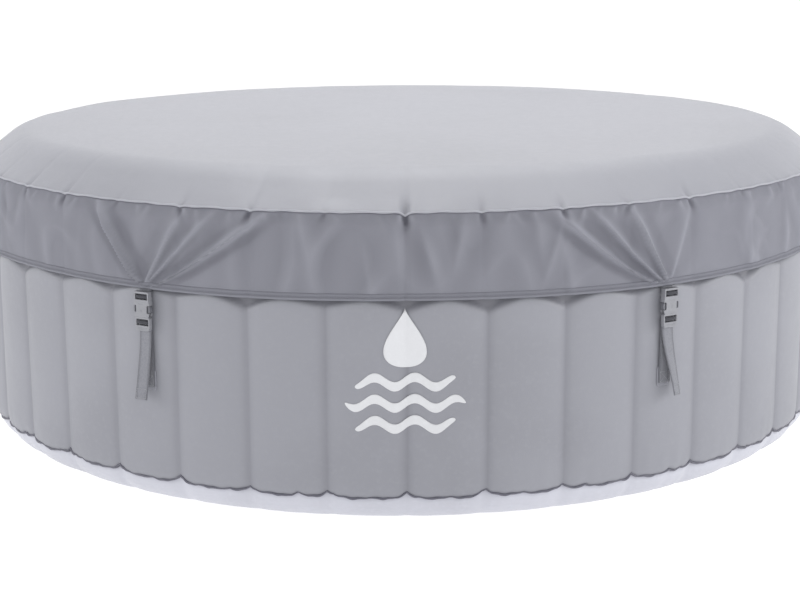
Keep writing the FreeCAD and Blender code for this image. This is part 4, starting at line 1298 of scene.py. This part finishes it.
# each spigot with a thread: its node, its word in names and its radius
PORTS = [("water_inlet", "inlet", 0.030), ("water_outlet", "outlet", 0.030), ("air_port", "air", 0.020)]


def thread_rings(name, angle, radius):
    """A raised screw thread round the end of a spigot."""
    start, end, turns = 1.060, 1.080, 3
    verts, steps = [], turns * 64
    section = [(-0.0016, -0.0004), (-0.0006, 0.0015), (0.0006, 0.0015), (0.0016, -0.0004)]
    for k in range(steps + 1):
        turn = 2 * math.pi * k / 64
        out = start + (end - start) * k / steps
        fade = min(1, k / 12, (steps - k) / 12)
        for shift, rise in section:
            reach = radius + (rise if fade >= 1 else -0.0004 + (rise + 0.0004) * fade)
            along, up = reach * math.cos(turn), PORT_Z + reach * math.sin(turn)
            verts.append(local_point(angle, along, out + shift, up))
    place(mesh_piece(name, verts, tube_faces(0, steps + 1, 4), FITTING), "tub", slot="fitting_plastic")


def port_details():
    for port, word, radius in PORTS:
        thread_rings(f"{word}_thread", heading(port), radius)


def cad_materials():
    """Gives every CAD piece a procedural material."""
    looks = {
        "wall_webs": LINER, "bubble_tube": TUBE, "filter_cartridge": PAPER, "filter_basket": FITTING,
        "filter_cap": CAP, "drain_seal": RUBBER, "drain_cap": CAP, "wall_cap": CAP, "lid_cap": CAP,
    }
    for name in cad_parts:
        look = looks.get(name, FITTING)
        if name.startswith("buckle_prong"):
            look = PRONG
        elif name.startswith("buckle"):
            look = BUCKLE
        materials = bpy.data.objects[name].data.materials
        for index in range(len(materials)):
            materials[index] = look
        if not materials:
            materials.append(look)


# ---- floor, lights and camera


LENS = 75.7
EYE_AWAY, EYE_HIGH = 4.14, 1.142
EYE_DOWN, EYE_YAW, EYE_ROLL = 12.33, 0.024, -0.0041


def paper(name, glow):
    """Names the object just added and gives it a material of plain white paper that glows a little."""
    sheet = bpy.context.object
    sheet.name = name
    paint = Paint(name, (0.3, 0.3, 0.3, 1), 0.9, specular=0.0)
    paint.shader.inputs["Emission Color"].default_value = (1, 1, 1, 1)
    paint.shader.inputs["Emission Strength"].default_value = glow
    sheet.data.materials.append(paint.done())


def studio():
    scene = bpy.context.scene
    bpy.ops.mesh.primitive_plane_add(size=60, location=(0, 0, -0.0005))
    paper("floor", 0.86)
    shape = dict(vertices=96, radius=26, depth=14, end_fill_type="NOTHING", location=(0, 0, 6.99))
    bpy.ops.mesh.primitive_cylinder_add(**shape)
    paper("backdrop", 0.9)

    world = bpy.data.worlds.new("studio")
    scene.world = world
    world.use_nodes = True
    sky = world.node_tree.nodes["Background"]
    sky.inputs["Color"].default_value = (1, 1, 1, 1)
    sky.inputs["Strength"].default_value = 0.4

    # (name, place, side of the square in metres, watts)
    lamps = [
        ("left_box", (-4.4, -1.8, 1.8), 2.6, 47),
        ("right_box", (4.4, -1.8, 1.8), 2.6, 72),
        ("front_box", (0.8, -5.6, 3.0), 2.4, 14),
        ("top_box", (0, 1.0, 4.2), 3.6, 135),
    ]
    for name, spot, size, power in lamps:
        lamp = bpy.data.lights.new(name, "AREA")
        lamp.shape = "SQUARE"
        lamp.size = size
        lamp.energy = power
        holder = bpy.data.objects.new(name, lamp)
        holder.location = spot
        aim = Vector((0, 0, 0.35)) - Vector(spot)
        holder.rotation_euler = aim.to_track_quat("-Z", "Y").to_euler()
        scene.collection.objects.link(holder)

    scene.view_settings.view_transform = "Standard"
    scene.view_settings.look = "None"
    eye = bpy.data.cameras.new("camera")
    eye.lens = LENS
    camera = bpy.data.objects.new("camera", eye)
    camera.location = (0, -EYE_AWAY * SEAM_R, EYE_HIGH * SEAM_R)
    tilt = Matrix.Rotation(math.radians(90 - EYE_DOWN), 4, "X")
    yaw = Matrix.Rotation(math.radians(EYE_YAW), 4, "Z")
    roll = Matrix.Rotation(EYE_ROLL, 4, "Z")
    camera.rotation_euler = (yaw @ tilt @ roll).to_euler()
    scene.collection.objects.link(camera)
    scene.camera = camera


cad_materials()
outer_wall()
top_rim()
inner_wall()
weld_band()
bottom_skin()
basin_floor()
lid_pad()
lid_lining()
cover_top()
piping()
skirt()
hem()
edge_stitches()
straps()
buckles()
anchor_patches()
wall_print()
port_details()
studio()
